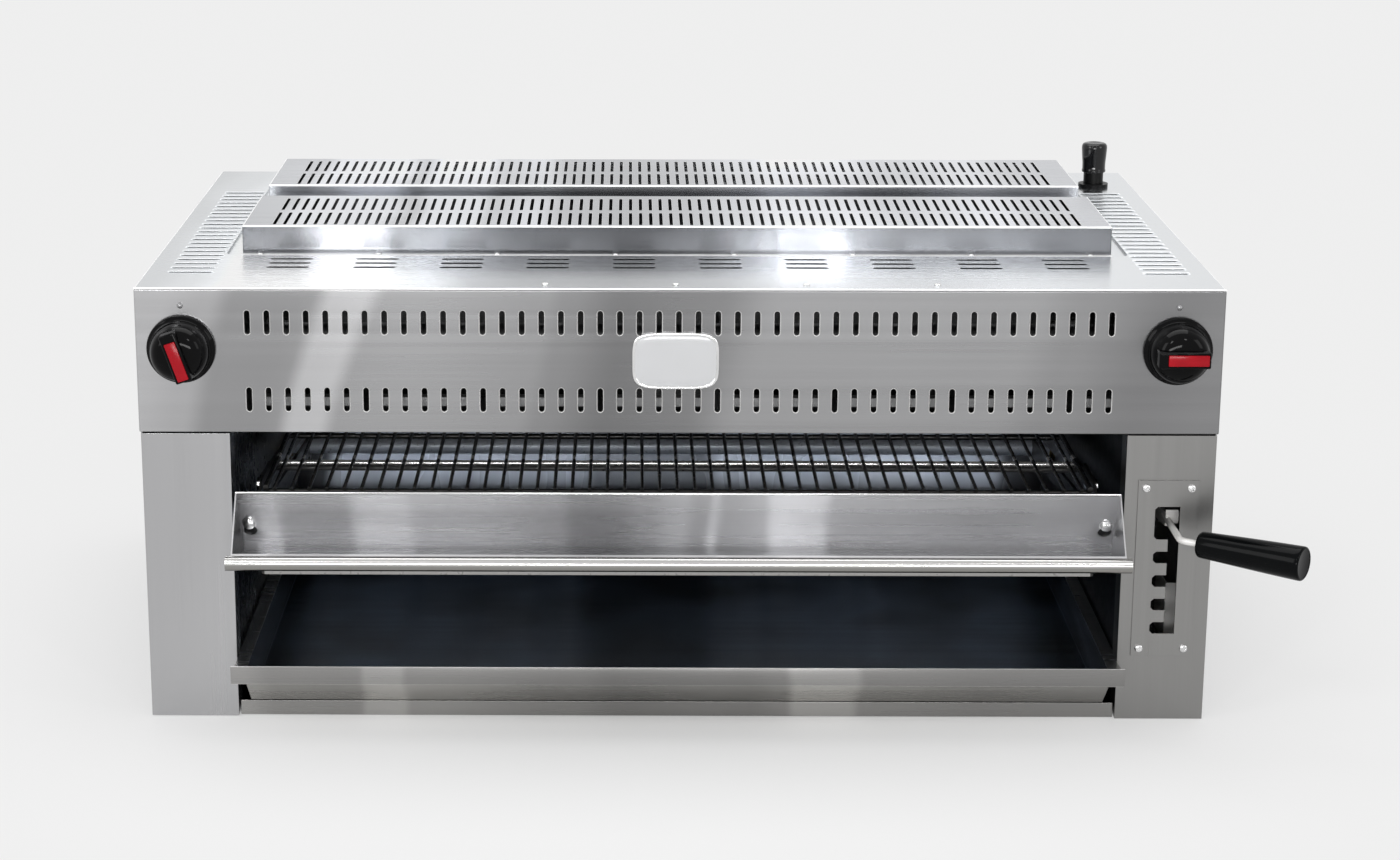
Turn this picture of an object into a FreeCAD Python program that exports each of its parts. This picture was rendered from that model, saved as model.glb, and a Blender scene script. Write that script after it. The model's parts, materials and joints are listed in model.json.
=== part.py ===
import FreeCAD, Part
import math
import os
import types

import Sketcher

# Cheese melter: a 36 inch gas broiler with a rack that a lever raises and lowers.
# X runs to the right, Y to the back, Z up. Lengths are millimetres.
# The origin is the middle of the footprint, at the height it stands on.

SIZES = {
    # Cabinet
    "body_width": 914, "body_depth": 560, "body_height": 380, "sheet": 1.2,
    "hood_drop": 125, "hood_return": 24, "wrap_gap": 0.2, "hem": 12,
    "opening_width": 760, "column_return": 24, "column_top_gap": 1.0,
    "rail_height": 13.2, "rail_setback": 3, "rail_side_gap": 1.5, "side_gap": 0.4,
    "panel_flange": 22, "cavity_lead": 60, "roof_rise": 7,
    "leg_hole_radius": 5.5, "leg_inset_side": 40, "leg_inset_front": 60,
    # Slots of the hood
    "hood_slot_count": 45, "hood_slot_pitch": 16.48, "hood_slot_width": 4.6,
    "hood_slot_height": 20.6, "upper_slot_drop": 29.5, "lower_slot_drop": 96.2,
    "slots_per_notch": 6,
    # Openings of the top
    "slit_groups": 10, "slit_group_pitch": 74.9, "slit_length": 37, "slit_width": 6,
    "slit_pitch": 17.6, "slit_first": 86, "slits_in_group": 3,
    "louvre_count": 22, "louvre_pitch": 17.8, "louvre_length": 40, "louvre_first": 65,
    "louvre_inset": 19, "well_inset": 59.5, "well_margin": 6, "well_depth": 2,
    "well_rim": 14, "well_corner": 10,
    # Vent boxes
    "vent_side_gap": 13.5, "vent_rear_lead": 63, "vent_box_depth": 146, "vent_gap": 55,
    "vent_rise": 24, "vent_sheet": 1.0, "vent_flange": 7,
    "vent_slot_count": 80, "vent_slot_pitch": 9.02, "vent_slot_width": 3,
    "vent_slot_length": 56.5, "vent_slot_inset": 5.5, "vent_row_gap": 12.5,
    "flue_margin": 14,
    # Knobs
    "knob_inset": 38.6, "knob_drop": 52, "knob_skirt_radius": 29, "knob_gap": 1,
    "knob_skirt": 4, "knob_cone_radius": 20.5, "knob_cone": 13, "knob_dome": 8,
    "knob_crown": 12.8, "knob_grip_length": 43, "knob_grip_width": 14, "knob_reach": 37,
    "knob_bore": 4, "insert_length": 34, "insert_width": 9.6, "insert_depth": 1.6,
    "insert_shift": 3, "insert_proud": 0.4, "left_pointer": 161, "right_pointer": 90,
    "index_rise": 37, "index_radius": 2.6, "index_height": 2,
    # Gas train
    "stem_radius": 3.8, "stem_length": 22, "stem_fit": 0.05, "stem_hole_radius": 6,
    "valve_front": 12, "valve_length": 30, "valve_width": 26, "valve_height": 30,
    "valve_socket": 10, "nose_radius": 7.5, "manifold_radius": 10.5, "manifold_bore": 8,
    "manifold_overhang": 16, "manifold_end": 2, "union_length": 24, "union_wall": 3.5,
    "inlet_inset": 39, "inlet_lead": 78, "pipe_radius": 9.6, "pipe_rise": 34,
    "pipe_bore": 7, "pipe_bend": 26,
    "collar_radius": 14.5, "collar_height": 3.5, "cap_radius": 12.4, "cap_height": 29,
    "cap_lift": 15, "cap_taper": 1.2, "cap_fit": 0.35, "cap_round": 3,
    "burner_width": 300, "burner_depth": 300, "burner_front": 90, "burner_centre": 190,
    "burner_height": 46, "tile_rows": 3, "tile_columns": 4, "tile_gap": 0.6, "tile_lap": 5,
    "tile_thickness": 12, "burner_flange": 10, "apron_height": 20,
    "apron_notch_count": 8, "mixer_radius": 16, "mixer_throat": 11,
    "mixer_length": 44, "mixer_bore": 9, "supply_radius": 5, "supply_bore": 4,
    "supply_bend": 14, "supply_depth": 240,
    "jet_radius": 6.5, "jet_length": 16, "jet_orifice": 0.8,
    # Notched plate and lever
    "plate_lead": 11, "plate_width": 52, "plate_bottom": 58, "plate_top": 215,
    "plate_thickness": 1.5, "plate_screw_inset": 6.8, "plate_screw_radius": 1.9,
    "plate_head_radius": 3.6, "plate_head_height": 2.2, "plate_screw_length": 8,
    "screw_play": 0.3,
    "channel_lead": 27.2, "channel_width": 9.2, "channel_top": 191.8,
    "guide_gap": 2.6, "guide_lead": 60, "guide_depth": 50, "guide_foot": 16,
    "guide_bottom": 50, "guide_height": 54,
    "notch_reach": 12, "notch_height": 10.4, "notch_pitch": 21.15,
    "notch_count": 5, "notch_bottom": 78.1, "notch_corner": 2.5,
    "rod_radius": 2.9, "rod_height": 171.5, "rod_reach": 32.8, "rod_root": 30,
    "rod_bend": 11, "lever_turn": 54.3, "rod_after_bend": 17.5, "grip_length": 93,
    "grip_small_radius": 11, "grip_large_radius": 14.5, "grip_socket": 30,
    "grip_edge": 2,
    "shaft_lead": 75, "shaft_radius": 8, "shaft_height": 127.4,
    "shaft_overhang": 8, "shaft_end": 13.2,
    "hub_radius": 14, "hub_width": 17, "ear_thickness": 3, "ear_gap": 16,
    "hinge_reach": 28, "ear_width": 16, "hinge_pin_radius": 3, "hinge_fit": 0.05,
    "hinge_head": 2, "hinge_head_radius": 5, "lever_bar": 4, "bar_eye_height": 10,
    "bar_tip_height": 12,
    "rod_weld": 15, "tab_width": 11, "tab_height": 12, "tab_thickness": 2.5, "tab_lift": 3,
    # Lift linkage
    "pivot_depth": 52, "arm_width": 18, "arm_thickness": 3,
    "arm_gap": 0.5, "steady_offset": 28, "pivot_radius": 4, "pivot_fit": 0.05,
    "pivot_head": 2, "pivot_head_radius": 7, "open_pivot_play": 0.6,
    "bush_wall": 3, "bush_inner": 5, "bush_outer": 3, "bush_fit": 0.05,
    "bush_flange": 3, "bush_rim": 2.5,
    # Carriage
    "side_inset": 24, "side_thickness": 2.5, "side_lead": 108, "side_crest": 208,
    "side_foot": 13, "waist_drop": 20, "side_neck_depth": 64, "side_neck_height": 150,
    "side_waist_depth": 82, "side_crest_front": 20, "side_crest_rear": 78,
    "side_crest_slope": 12,
    "ledge_top": 201.5, "ledge_top_depth": 2, "ledge_fold": 138, "ledge_fold_depth": 40,
    "ledge_front": 38.5, "ledge_front_bottom": 144.5, "ledge_rail_height": 13,
    "ledge_side_gap": 2.5, "rail_overhang": 2,
    "cap_length": 3, "tab_inset": 6, "tab_plate": 2.5,
    "stud_inset": 11.5, "stud_height": 170, "stud_radius": 3, "stud_head_radius": 5,
    "stud_head": 5, "stud_crown_radius": 3, "keyhole_radius": 6, "keyhole_drop": 10,
    "keyhole_play": 0.4,
    "tab_top": 188, "tab_bottom": 151,
    "bar_depth": 14, "bar_thickness": 2.5, "bar_gap": 0.5,
    "support_width": 14, "support_thickness": 2, "support_lead": 10,
    "rack_height": 203, "wire_radius": 1.6, "wire_count": 47, "wire_pitch": 15,
    "rod_cross_radius": 2.5,
    "cross_count": 5, "cross_first": 14, "cross_pitch": 91, "wire_front": 8,
    "rack_lead": 115, "rack_side_gap": 4, "weld": 0.3,
    # Drip tray
    "tray_front": 30, "tray_rim": 55, "tray_break": 40, "tray_floor": 15,
    "tray_lead": 30, "tray_inset": 11, "tray_flange_gap": 0.7,
    "tray_lip_overlap": 2, "tray_lip_rise": 1,
    "runner_gap": 0.3, "runner_height": 10, "runner_lead": 10,
    # Blank badge and studs
    "badge_x": -2.5, "badge_drop": 61.6, "badge_length": 73.5, "badge_rise": 49,
    "badge_thickness": 2.5, "badge_bulge": 3, "badge_corner": 8,
    "upright_share": 0.5,
    # Shared clearances
    "overrun": 2, "rest_gap": 0.3,
}

doc = FreeCAD.newDocument("cheese_melter")
sheet = doc.addObject("Spreadsheet::Sheet", "sizes")
for row, (alias, value) in enumerate(SIZES.items(), 1):
    sheet.set(f"A{row}", alias)
    sheet.set(f"B{row}", str(value))
    sheet.setAlias(f"B{row}", alias)
doc.recompute()


class Size:
    """A length that remembers the cells it is worked out from."""

    def __init__(self, value, text):
        self.value = float(value)
        self.text = text

    def __float__(self):
        return self.value

    def __add__(self, other):
        return Size(self.value + float(other), f"({self.text} + {text_of(other)})")

    def __radd__(self, other):
        return Size(float(other) + self.value, f"({text_of(other)} + {self.text})")

    def __sub__(self, other):
        return Size(self.value - float(other), f"({self.text} - {text_of(other)})")

    def __rsub__(self, other):
        return Size(float(other) - self.value, f"({text_of(other)} - {self.text})")

    def __mul__(self, other):
        return Size(self.value * float(other), f"({self.text} * {text_of(other)})")

    __rmul__ = __mul__

    def __truediv__(self, other):
        return Size(self.value / float(other), f"({self.text} / {text_of(other)})")

    def __neg__(self):
        return Size(-self.value, f"(0 - {self.text})")


def text_of(value):
    return value.text if isinstance(value, Size) else repr(float(value))


def root_of(value):
    return Size(math.sqrt(float(value)), f"sqrt({text_of(value)})")


s = types.SimpleNamespace(
    **{alias: Size(value, f"sizes.{alias}") for alias, value in SIZES.items()}
)
X, Y, Z = FreeCAD.Vector(1, 0, 0), FreeCAD.Vector(0, 1, 0), FreeCAD.Vector(0, 0, 1)
SIDES = (("left", -1), ("right", 1))
parts = {}


def behind(depth):
    """The Y of a point that lies this far behind the hood's front face."""
    return depth - s.body_depth / 2


def vector(x, y, z):
    return FreeCAD.Vector(float(x), float(y), float(z))


def span(side, near, far):
    """The X range from near to far on one side of the middle plane."""
    return (near, far) if side > 0 else (-far, -near)


def keep(name, part):
    """Give a finished piece the name that its file gets."""
    part.Label = name
    parts[name] = part
    return part


# Part primitives bound to the sheet

def bind(part, prop, value):
    part.setExpression(prop, text_of(value))


def box(name, x, y, z):
    solid = doc.addObject("Part::Box", name)
    for (low, high), side, axis in zip((x, y, z), ("Length", "Width", "Height"), "xyz"):
        bind(solid, side, high - low)
        bind(solid, f"Placement.Base.{axis}", low)
    return solid


def place(part, x, y, z, rotation=None):
    if rotation:
        part.Placement = FreeCAD.Placement(FreeCAD.Vector(), rotation)
    for axis, value in zip("xyz", (x, y, z)):
        bind(part, f"Placement.Base.{axis}", value)
    return part


ALONG = {
    "x": FreeCAD.Rotation(Z, X), "y": FreeCAD.Rotation(Z, Y), "z": FreeCAD.Rotation(),
    "-y": FreeCAD.Rotation(Z, FreeCAD.Vector(0, -1, 0)),
}


def rod(name, radius, length, at, axis):
    solid = doc.addObject("Part::Cylinder", name)
    bind(solid, "Radius", radius)
    bind(solid, "Height", length)
    return place(solid, *at, rotation=ALONG[axis])


def cone(name, radius_low, radius_high, length, at, axis):
    solid = doc.addObject("Part::Cone", name)
    bind(solid, "Radius1", radius_low)
    bind(solid, "Radius2", radius_high)
    bind(solid, "Height", length)
    return place(solid, *at, rotation=ALONG[axis])


def fuse(name, *solids):
    joined = doc.addObject("Part::MultiFuse", name)
    joined.Shapes = list(solids)
    return joined


def group(name, solids):
    bundle = doc.addObject("Part::Compound", name)
    bundle.Links = list(solids)
    return bundle


def cut(name, base, *tools):
    result = doc.addObject("Part::Cut", name)
    result.Base = base
    result.Tool = tools[0] if len(tools) == 1 else fuse(name + "_tools", *tools)
    return result


def shaped(name, shape):
    part = doc.addObject("Part::Feature", name)
    part.Shape = shape
    return part


# PartDesign bodies with constrained sketches

PLANES = {"xy": 3, "xz": 4, "yz": 5}


def body(name):
    return doc.addObject("PartDesign::Body", name)


def origin_of(owner, index):
    return owner.Origin.OriginFeatures[index]


def sketch(owner, plane, level):
    """A sketch parallel to a base plane, at the given height along that plane's axis."""
    drawing = owner.newObject("Sketcher::SketchObject", owner.Name + "_sketch")
    drawing.AttachmentSupport = [(origin_of(owner, PLANES[plane]), "")]
    drawing.MapMode = "FlatFace"
    bind(drawing, "AttachmentOffset.Base.z", -level if plane == "xz" else level)
    return drawing


def pin_point(drawing, line, end, x, y):
    for kind, value in (("DistanceX", x), ("DistanceY", y)):
        number = float(value)
        index = drawing.addConstraint(
            Sketcher.Constraint(kind, -1, 1, line, end, number))
        drawing.setExpression(f"Constraints[{index}]", text_of(value))


def outline(drawing, points):
    """A closed run of straight lines whose corners are bound to the sheet."""
    corners = [FreeCAD.Vector(float(x), float(y), 0) for x, y in points]
    first = drawing.GeometryCount
    for start, end in zip(corners, corners[1:] + corners[:1]):
        drawing.addGeometry(Part.LineSegment(start, end), False)
    count = len(corners)
    for index in range(count):
        drawing.addConstraint(Sketcher.Constraint(
            "Coincident", first + index, 2, first + (index + 1) % count, 1))
    for index, (x, y) in enumerate(points):
        pin_point(drawing, first + index, 1, x, y)


def rectangle(drawing, x, y):
    outline(drawing, ((x[0], y[0]), (x[1], y[0]), (x[1], y[1]), (x[0], y[1])))


def circle(drawing, x, y, radius):
    centre = FreeCAD.Vector(float(x), float(y), 0)
    index = drawing.addGeometry(
        Part.Circle(centre, FreeCAD.Vector(0, 0, 1), float(radius)), False)
    pin_point(drawing, index, 3, x, y)
    size = drawing.addConstraint(Sketcher.Constraint("Radius", index, float(radius)))
    drawing.setExpression(f"Constraints[{size}]", text_of(radius))


def pad(owner, drawing, length, backwards=False):
    feature = owner.newObject("PartDesign::Pad", owner.Name + "_pad")
    feature.Profile = drawing
    bind(feature, "Length", length)
    feature.Reversed = backwards
    return feature


def pocket(owner, drawing, length, forwards=False):
    feature = owner.newObject("PartDesign::Pocket", owner.Name + "_pocket")
    feature.Profile = drawing
    bind(feature, "Length", length)
    feature.Reversed = forwards
    return feature


def prism(owner, plane, low, high, draw, *arguments):
    """Pad a drawing from one level to a higher one along the plane's axis."""
    drawing = sketch(owner, plane, low)
    draw(drawing, *arguments)
    return pad(owner, drawing, high - low, backwards=plane == "xz")


def recess(owner, plane, low, high, draw, *arguments):
    """Cut a drawing from one level to a higher one along the plane's axis."""
    drawing = sketch(owner, plane, low)
    draw(drawing, *arguments)
    return pocket(owner, drawing, high - low, forwards=plane != "xz")


def repeat(owner, feature, axis, pitch, count):
    """Copy a feature along a base axis."""
    pattern = owner.newObject("PartDesign::LinearPattern", owner.Name + "_row")
    pattern.Originals = [feature]
    pattern.Direction = (origin_of(owner, "xyz".index(axis)), [""])
    bind(pattern, "Length", pitch * (count - 1))
    bind(pattern, "Occurrences", count)
    owner.Tip = pattern
    return pattern


def faces_where(feature, test):
    """Names of a feature's faces whose centre passes the test."""
    doc.recompute()
    return [f"Face{number}" for number, face in enumerate(feature.Shape.Faces, 1)
            if test(face)]


def hollow(owner, feature, wall, test):
    """Turn a solid into a pan by opening the faces that pass the test."""
    shell = owner.newObject("PartDesign::Thickness", owner.Name + "_shell")
    shell.Base = (feature, faces_where(feature, test))
    bind(shell, "Value", wall)
    shell.Reversed = True
    shell.Join = 1
    return shell


# Levels that several pieces share

half_width = s.body_width / 2
half_depth = s.body_depth / 2
half_opening = s.opening_width / 2
case_half = half_width - s.sheet - s.wrap_gap
inner_half = case_half - s.sheet
hood_bottom = s.body_height - s.hood_drop
under_top = s.body_height - s.sheet
return_back = s.sheet + s.column_return
wall_outer = half_opening + s.sheet * 2
cavity_depth = s.body_depth - s.cavity_lead
cavity_roof = hood_bottom + s.roof_rise
knob_x = half_width - s.knob_inset
knob_z = s.body_height - s.knob_drop
inlet_x = half_width - s.inlet_inset
inlet_y = half_depth - s.inlet_lead
pipe_top = s.body_height + s.pipe_rise
louvre_edge = half_width - s.louvre_inset
well_half = half_width - s.well_inset
vent_half = well_half - s.vent_side_gap
vent_front = (s.body_depth - s.vent_rear_lead - s.vent_box_depth - s.vent_gap
              - s.vent_box_depth)
vent_top = s.body_height + s.vent_rise
plate_left = half_opening + s.plate_lead
plate_right = plate_left + s.plate_width
channel_left = plate_left + s.channel_lead
channel_right = channel_left + s.channel_width
notch_left = channel_left - s.notch_reach
lever_x = channel_left + s.channel_width / 2
shaft_depth = cavity_depth - s.shaft_lead
shaft_y = behind(shaft_depth)
lever_rise = s.rod_height - s.shaft_height
lever_run = shaft_depth + s.plate_thickness / 2
arm_run = shaft_depth - s.pivot_depth
arm_rise = arm_run * lever_rise / lever_run
arm_length = root_of(arm_run * arm_run + arm_rise * arm_rise)
pivot_y = behind(s.pivot_depth)
pivot_z = s.shaft_height + arm_rise
side_inner = half_opening - s.side_inset
arm_inner = side_inner + s.side_thickness + s.arm_gap
rack_half = side_inner - s.rack_side_gap
rail_half = half_opening + s.rail_overhang
ledge_half = half_opening - s.ledge_side_gap
tray_half = half_opening - s.tray_inset
well_front = vent_front - s.vent_flange - s.well_margin
well_rear = (vent_front + s.vent_box_depth * 2 + s.vent_gap + s.vent_flange
             + s.well_margin)
manifold_y = behind(s.valve_front + s.valve_length + s.manifold_radius)
cross_z = s.rack_height - s.wire_radius - s.rod_cross_radius + s.weld
rack_seat = cross_z - s.rod_cross_radius


# Cabinet

def hood_front():
    panel = body("hood_front")
    prism(panel, "xz", behind(0), behind(s.hood_return), rectangle,
          (-half_width, half_width), (hood_bottom, under_top))
    recess(panel, "xz", behind(s.sheet), behind(s.hood_return + s.overrun), rectangle,
           (s.sheet - half_width, half_width - s.sheet),
           (hood_bottom + s.sheet, under_top - s.sheet))
    for _, side in SIDES:
        recess(panel, "xz", behind(s.sheet), behind(s.hood_return + s.overrun), rectangle,
               span(side, inner_half - s.wrap_gap, half_width - s.sheet),
               (hood_bottom - s.overrun, under_top + s.overrun))
    first = s.hood_slot_pitch * (s.hood_slot_count - 1) / -2
    half = s.hood_slot_width / 2
    drawing = sketch(panel, "xz", behind(-s.overrun))
    for drop in (s.upper_slot_drop, s.lower_slot_drop):
        centre = s.body_height - drop
        rectangle(drawing, (first - half, first + half),
                  (centre - s.hood_slot_height / 2, centre + s.hood_slot_height / 2))
    slots = pocket(panel, drawing, s.sheet + s.overrun * 2)
    repeat(panel, slots, "x", s.hood_slot_pitch, s.hood_slot_count)
    drawing = sketch(panel, "xz", behind(-s.overrun))
    for _, side in SIDES:
        circle(drawing, side * knob_x, knob_z, s.stem_hole_radius)
    pocket(panel, drawing, s.sheet + s.overrun * 2)
    keep("hood_front", panel)


def well_outline(drawing):
    """The opening round the vent boxes, with cut corners."""
    wide, corner = well_half, s.well_corner
    front, rear = behind(well_front), behind(well_rear)
    outline(drawing, (
        (corner - wide, front), (wide - corner, front), (wide, front + corner),
        (wide, rear - corner), (wide - corner, rear), (corner - wide, rear),
        (-wide, rear - corner), (-wide, front + corner)))


def top_panel():
    panel = body("top_panel")
    prism(panel, "xy", s.body_height - s.panel_flange, s.body_height, rectangle,
          (-half_width, half_width), (behind(0), half_depth))
    recess(panel, "xy", s.body_height - s.panel_flange - s.overrun, under_top, rectangle,
           (s.sheet - half_width, half_width - s.sheet),
           (behind(-s.overrun), half_depth - s.sheet))
    recess(panel, "xy", s.body_height - s.panel_flange - s.overrun, under_top, rectangle,
           (-half_width - s.overrun, half_width + s.overrun),
           (behind(-s.overrun), behind(s.hood_return)))
    recess(panel, "xy", under_top - s.overrun, s.body_height + s.overrun, well_outline)
    first = s.slit_group_pitch * (s.slit_groups - 1) / -2
    drawing = sketch(panel, "xy", under_top - s.overrun)
    for number in range(int(float(s.slits_in_group))):
        near = behind(s.slit_first + s.slit_pitch * number - s.slit_width / 2)
        rectangle(drawing, (first - s.slit_length / 2, first + s.slit_length / 2),
                  (near, near + s.slit_width))
    slits = pocket(panel, drawing, s.sheet + s.overrun * 2, forwards=True)
    repeat(panel, slits, "x", s.slit_group_pitch, s.slit_groups)
    drawing = sketch(panel, "xy", under_top - s.overrun)
    near = behind(s.louvre_first - s.slit_width / 2)
    for _, side in SIDES:
        rectangle(drawing, span(side, louvre_edge - s.louvre_length, louvre_edge),
                  (near, near + s.slit_width))
    louvres = pocket(panel, drawing, s.sheet + s.overrun * 2, forwards=True)
    repeat(panel, louvres, "y", s.louvre_pitch, s.louvre_count)
    recess(panel, "xy", under_top - s.overrun, s.body_height + s.overrun, circle,
           inlet_x, inlet_y, s.pipe_radius + s.rest_gap)
    keep("top_panel", panel)


def side_panels():
    """Flat sides with a flange turned in at the foot and at the back."""
    for label, side in SIDES:
        wide = span(side, inner_half, case_half)
        front, rear = behind(s.sheet), half_depth - s.sheet * 2
        web = box(f"side_web_{label}", wide, (front, rear), (0, under_top))
        foot = box(f"side_foot_{label}", span(side, inner_half - s.hem, inner_half),
                   (behind(return_back + s.overrun), rear - s.hem), (0, s.sheet))
        keep(f"side_panel_{label}", fuse(f"side_panel_{label}", web, foot))


def column_outline(drawing, side):
    inner, outer = half_opening, inner_half
    points = (
        (inner, behind(0)), (case_half, behind(0)), (case_half, behind(s.sheet)),
        (outer, behind(s.sheet)), (outer, behind(return_back)),
        (outer - s.sheet, behind(return_back)), (outer - s.sheet, behind(s.sheet)),
        (inner + s.sheet, behind(s.sheet)), (inner + s.sheet, behind(return_back)),
        (inner, behind(return_back)))
    outline(drawing, [(side * x, y) for x, y in points])


def front_columns():
    """Channels that close the front on each side of the opening."""
    for label, side in SIDES:
        column = body(f"front_column_{label}")
        prism(column, "xy", 0, hood_bottom - s.column_top_gap, column_outline, side)
        if side > 0:
            recess(column, "xz", behind(-s.overrun), behind(s.sheet + s.overrun),
                   rectangle, (notch_left - s.notch_corner,
                               channel_right + s.notch_corner),
                   (s.notch_bottom - s.notch_corner, s.channel_top + s.notch_corner))
            screw_holes(column, behind(-s.overrun), s.sheet + s.overrun * 2)
        keep(f"front_column_{label}", column)


def screw_places():
    inset = s.plate_screw_inset
    return [(x, z) for x in (plate_left + inset, plate_right - inset)
            for z in (s.plate_bottom + inset, s.plate_top - inset)]


def screw_holes(owner, level, length):
    drawing = sketch(owner, "xz", level)
    for x, z in screw_places():
        circle(drawing, x, z, s.plate_screw_radius + s.screw_play)
    return pocket(owner, drawing, length)


def rear_panel():
    keep("rear_panel", box(
        "rear_panel", (-case_half, case_half),
        (half_depth - s.sheet * 2, half_depth - s.sheet), (0, under_top)))


def base_pan():
    """Bottom sheet folded up along the front and the back, with four leg holes."""
    rail_half = half_opening - s.rail_side_gap
    wide = inner_half - s.hem - s.side_gap
    rail_back = behind(s.rail_setback + s.sheet)
    clear = behind(return_back + s.overrun)
    rear = half_depth - s.sheet * 2
    rail = box("base_rail", (-rail_half, rail_half),
               (behind(s.rail_setback), rail_back), (0, s.rail_height))
    apron = box("base_front", (-rail_half, rail_half), (rail_back, clear), (0, s.sheet))
    floor = box("base_floor", (-wide, wide), (clear, rear), (0, s.sheet))
    heel = box("base_heel", (-wide, wide), (rear - s.sheet, rear), (0, s.rail_height))
    holes = [
        rod(f"leg_hole_{label}_{end}", s.leg_hole_radius, s.sheet + s.overrun * 2,
            (side * (case_half - s.leg_inset_side), y, -s.overrun), "z")
        for label, side in SIDES
        for end, y in (("front", behind(s.leg_inset_front)),
                       ("rear", half_depth - s.leg_inset_front))]
    keep("base_pan", cut("base_pan", fuse("base_sheet", rail, apron, floor, heel), *holes))


def cavity():
    """Inner walls, back and roof of the broiling chamber."""
    rear = behind(cavity_depth)
    for label, side in SIDES:
        wall = box(f"wall_sheet_{label}", span(side, half_opening + s.sheet, wall_outer),
                   (behind(s.sheet), rear), (s.sheet, cavity_roof))
        notch = box(f"wall_notch_{label}",
                    span(side, half_opening, wall_outer + s.overrun),
                    (behind(0), behind(s.hood_return + s.overrun)),
                    (hood_bottom - s.column_top_gap, cavity_roof + s.overrun))
        holes = [rod(f"shaft_hole_{label}", s.shaft_radius + s.bush_wall,
                     s.sheet + s.overrun * 2,
                     (side * (half_opening + s.sheet + s.sheet / 2)
                      - s.sheet / 2 - s.overrun, shaft_y, s.shaft_height), "x")]
        keep(f"inner_wall_{label}", cut(f"inner_wall_{label}", wall, notch, *holes))
    keep("inner_back", box(
        "inner_back", (-wall_outer, wall_outer), (rear, rear + s.sheet),
        (s.sheet, cavity_roof)))
    reach = inner_half
    front = behind(s.hood_return + s.overrun)
    roof = box("roof_sheet", (-reach, reach), (front, rear + s.sheet),
               (cavity_roof, cavity_roof + s.sheet))
    apron = box("roof_apron", (-reach, reach), (front, front + s.sheet),
                (cavity_roof + s.sheet, cavity_roof + s.apron_height))
    first = s.hood_slot_pitch * (s.hood_slot_count - 1) / -2
    step = s.hood_slot_pitch * s.slots_per_notch
    notches = [
        box(f"apron_notch_{number}",
            (first + step * number - s.hood_slot_pitch / 2,
             first + step * number + s.hood_slot_pitch / 2),
            (front - s.overrun, front + s.sheet + s.overrun),
            (cavity_roof + s.sheet, cavity_roof + s.apron_height + s.overrun))
        for number in range(int(float(s.apron_notch_count)))]
    windows = [
        box(f"burner_window_{label}",
            (side * s.burner_centre - burner_half_window(),
             side * s.burner_centre + burner_half_window()),
            (behind(s.burner_front + s.burner_flange),
             behind(s.burner_front + s.burner_depth - s.burner_flange)),
            (cavity_roof - s.overrun, cavity_roof + s.sheet + s.overrun))
        for label, side in SIDES]
    keep("burner_deck", cut("burner_deck", fuse("deck_sheet", roof, apron),
                            *notches, *windows))


def burner_half_window():
    return s.burner_width / 2 - s.burner_flange


def vent_well():
    """Sunk floor that carries the vent boxes, open under each box."""
    wide, front, rear = well_half, behind(well_front), behind(well_rear)
    bottom = under_top - s.well_depth
    walls = box("well_walls", (-wide - s.sheet, wide + s.sheet),
                (front - s.sheet, rear + s.sheet), (bottom, under_top))
    hollow_top = box("well_hollow", (-wide, wide), (front, rear),
                     (bottom + s.sheet, under_top + s.overrun))
    rims = [
        box(f"well_rim_{label}", (-wide - s.sheet, wide + s.sheet), y,
            (under_top - s.sheet, under_top))
        for label, y in (("front", (front - s.well_rim, front - s.sheet)),
                         ("rear", (rear + s.sheet, rear + s.well_rim)))]
    flues = [
        box(f"flue_{label}",
            (s.flue_margin - vent_half, vent_half - s.flue_margin),
            (near + s.flue_margin, near + s.vent_box_depth - s.flue_margin),
            (bottom - s.overrun, bottom + s.sheet + s.overrun))
        for label, near in vent_places()]
    pan = cut("well_pan", walls, hollow_top, *flues)
    keep("vent_well", fuse("vent_well", pan, *rims))


def vent_places():
    front = behind(vent_front)
    return (("front", front), ("rear", front + s.vent_box_depth + s.vent_gap))


def vent_boxes():
    """Slotted covers over the two flues, each flanged on its long sides."""
    seat = under_top - s.well_depth + s.sheet
    for label, near in vent_places():
        far = near + s.vent_box_depth
        cover = body(f"vent_box_{label}")
        prism(cover, "xy", seat, vent_top, rectangle,
              (-vent_half, vent_half), (near, far))
        recess(cover, "xy", seat - s.overrun, vent_top - s.vent_sheet, rectangle,
               (s.vent_sheet - vent_half, vent_half - s.vent_sheet),
               (near + s.vent_sheet, far - s.vent_sheet))
        drawing = sketch(cover, "xy", seat)
        for low, high in ((near - s.vent_flange, near), (far, far + s.vent_flange)):
            rectangle(drawing, (-vent_half, vent_half), (low, high))
        pad(cover, drawing, s.vent_sheet)
        first = s.vent_slot_pitch * (s.vent_slot_count - 1) / -2
        half = s.vent_slot_width / 2
        drawing = sketch(cover, "xy", vent_top - s.vent_sheet - s.overrun)
        for low in (near + s.vent_slot_inset,
                    near + s.vent_slot_inset + s.vent_slot_length + s.vent_row_gap):
            rectangle(drawing, (first - half, first + half), (low, low + s.vent_slot_length))
        slots = pocket(cover, drawing, s.vent_sheet + s.overrun * 2, forwards=True)
        repeat(cover, slots, "x", s.vent_slot_pitch, s.vent_slot_count)
        keep(f"vent_box_{label}", cover)


# Controls

def knob_profile(drawing):
    """Half section of the knob: radius across, height out of the panel upwards."""
    skirt, cone_top = s.knob_skirt, s.knob_skirt + s.knob_cone
    outline(drawing, (
        (s.knob_bore, 0), (s.knob_skirt_radius, 0), (s.knob_skirt_radius, skirt),
        (s.knob_cone_radius + s.knob_dome / 2, cone_top),
        (s.knob_cone_radius, cone_top + s.knob_dome),
        (s.knob_cone_radius / 2, cone_top + s.knob_crown),
        (s.knob_bore, cone_top + s.knob_crown)))


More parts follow.
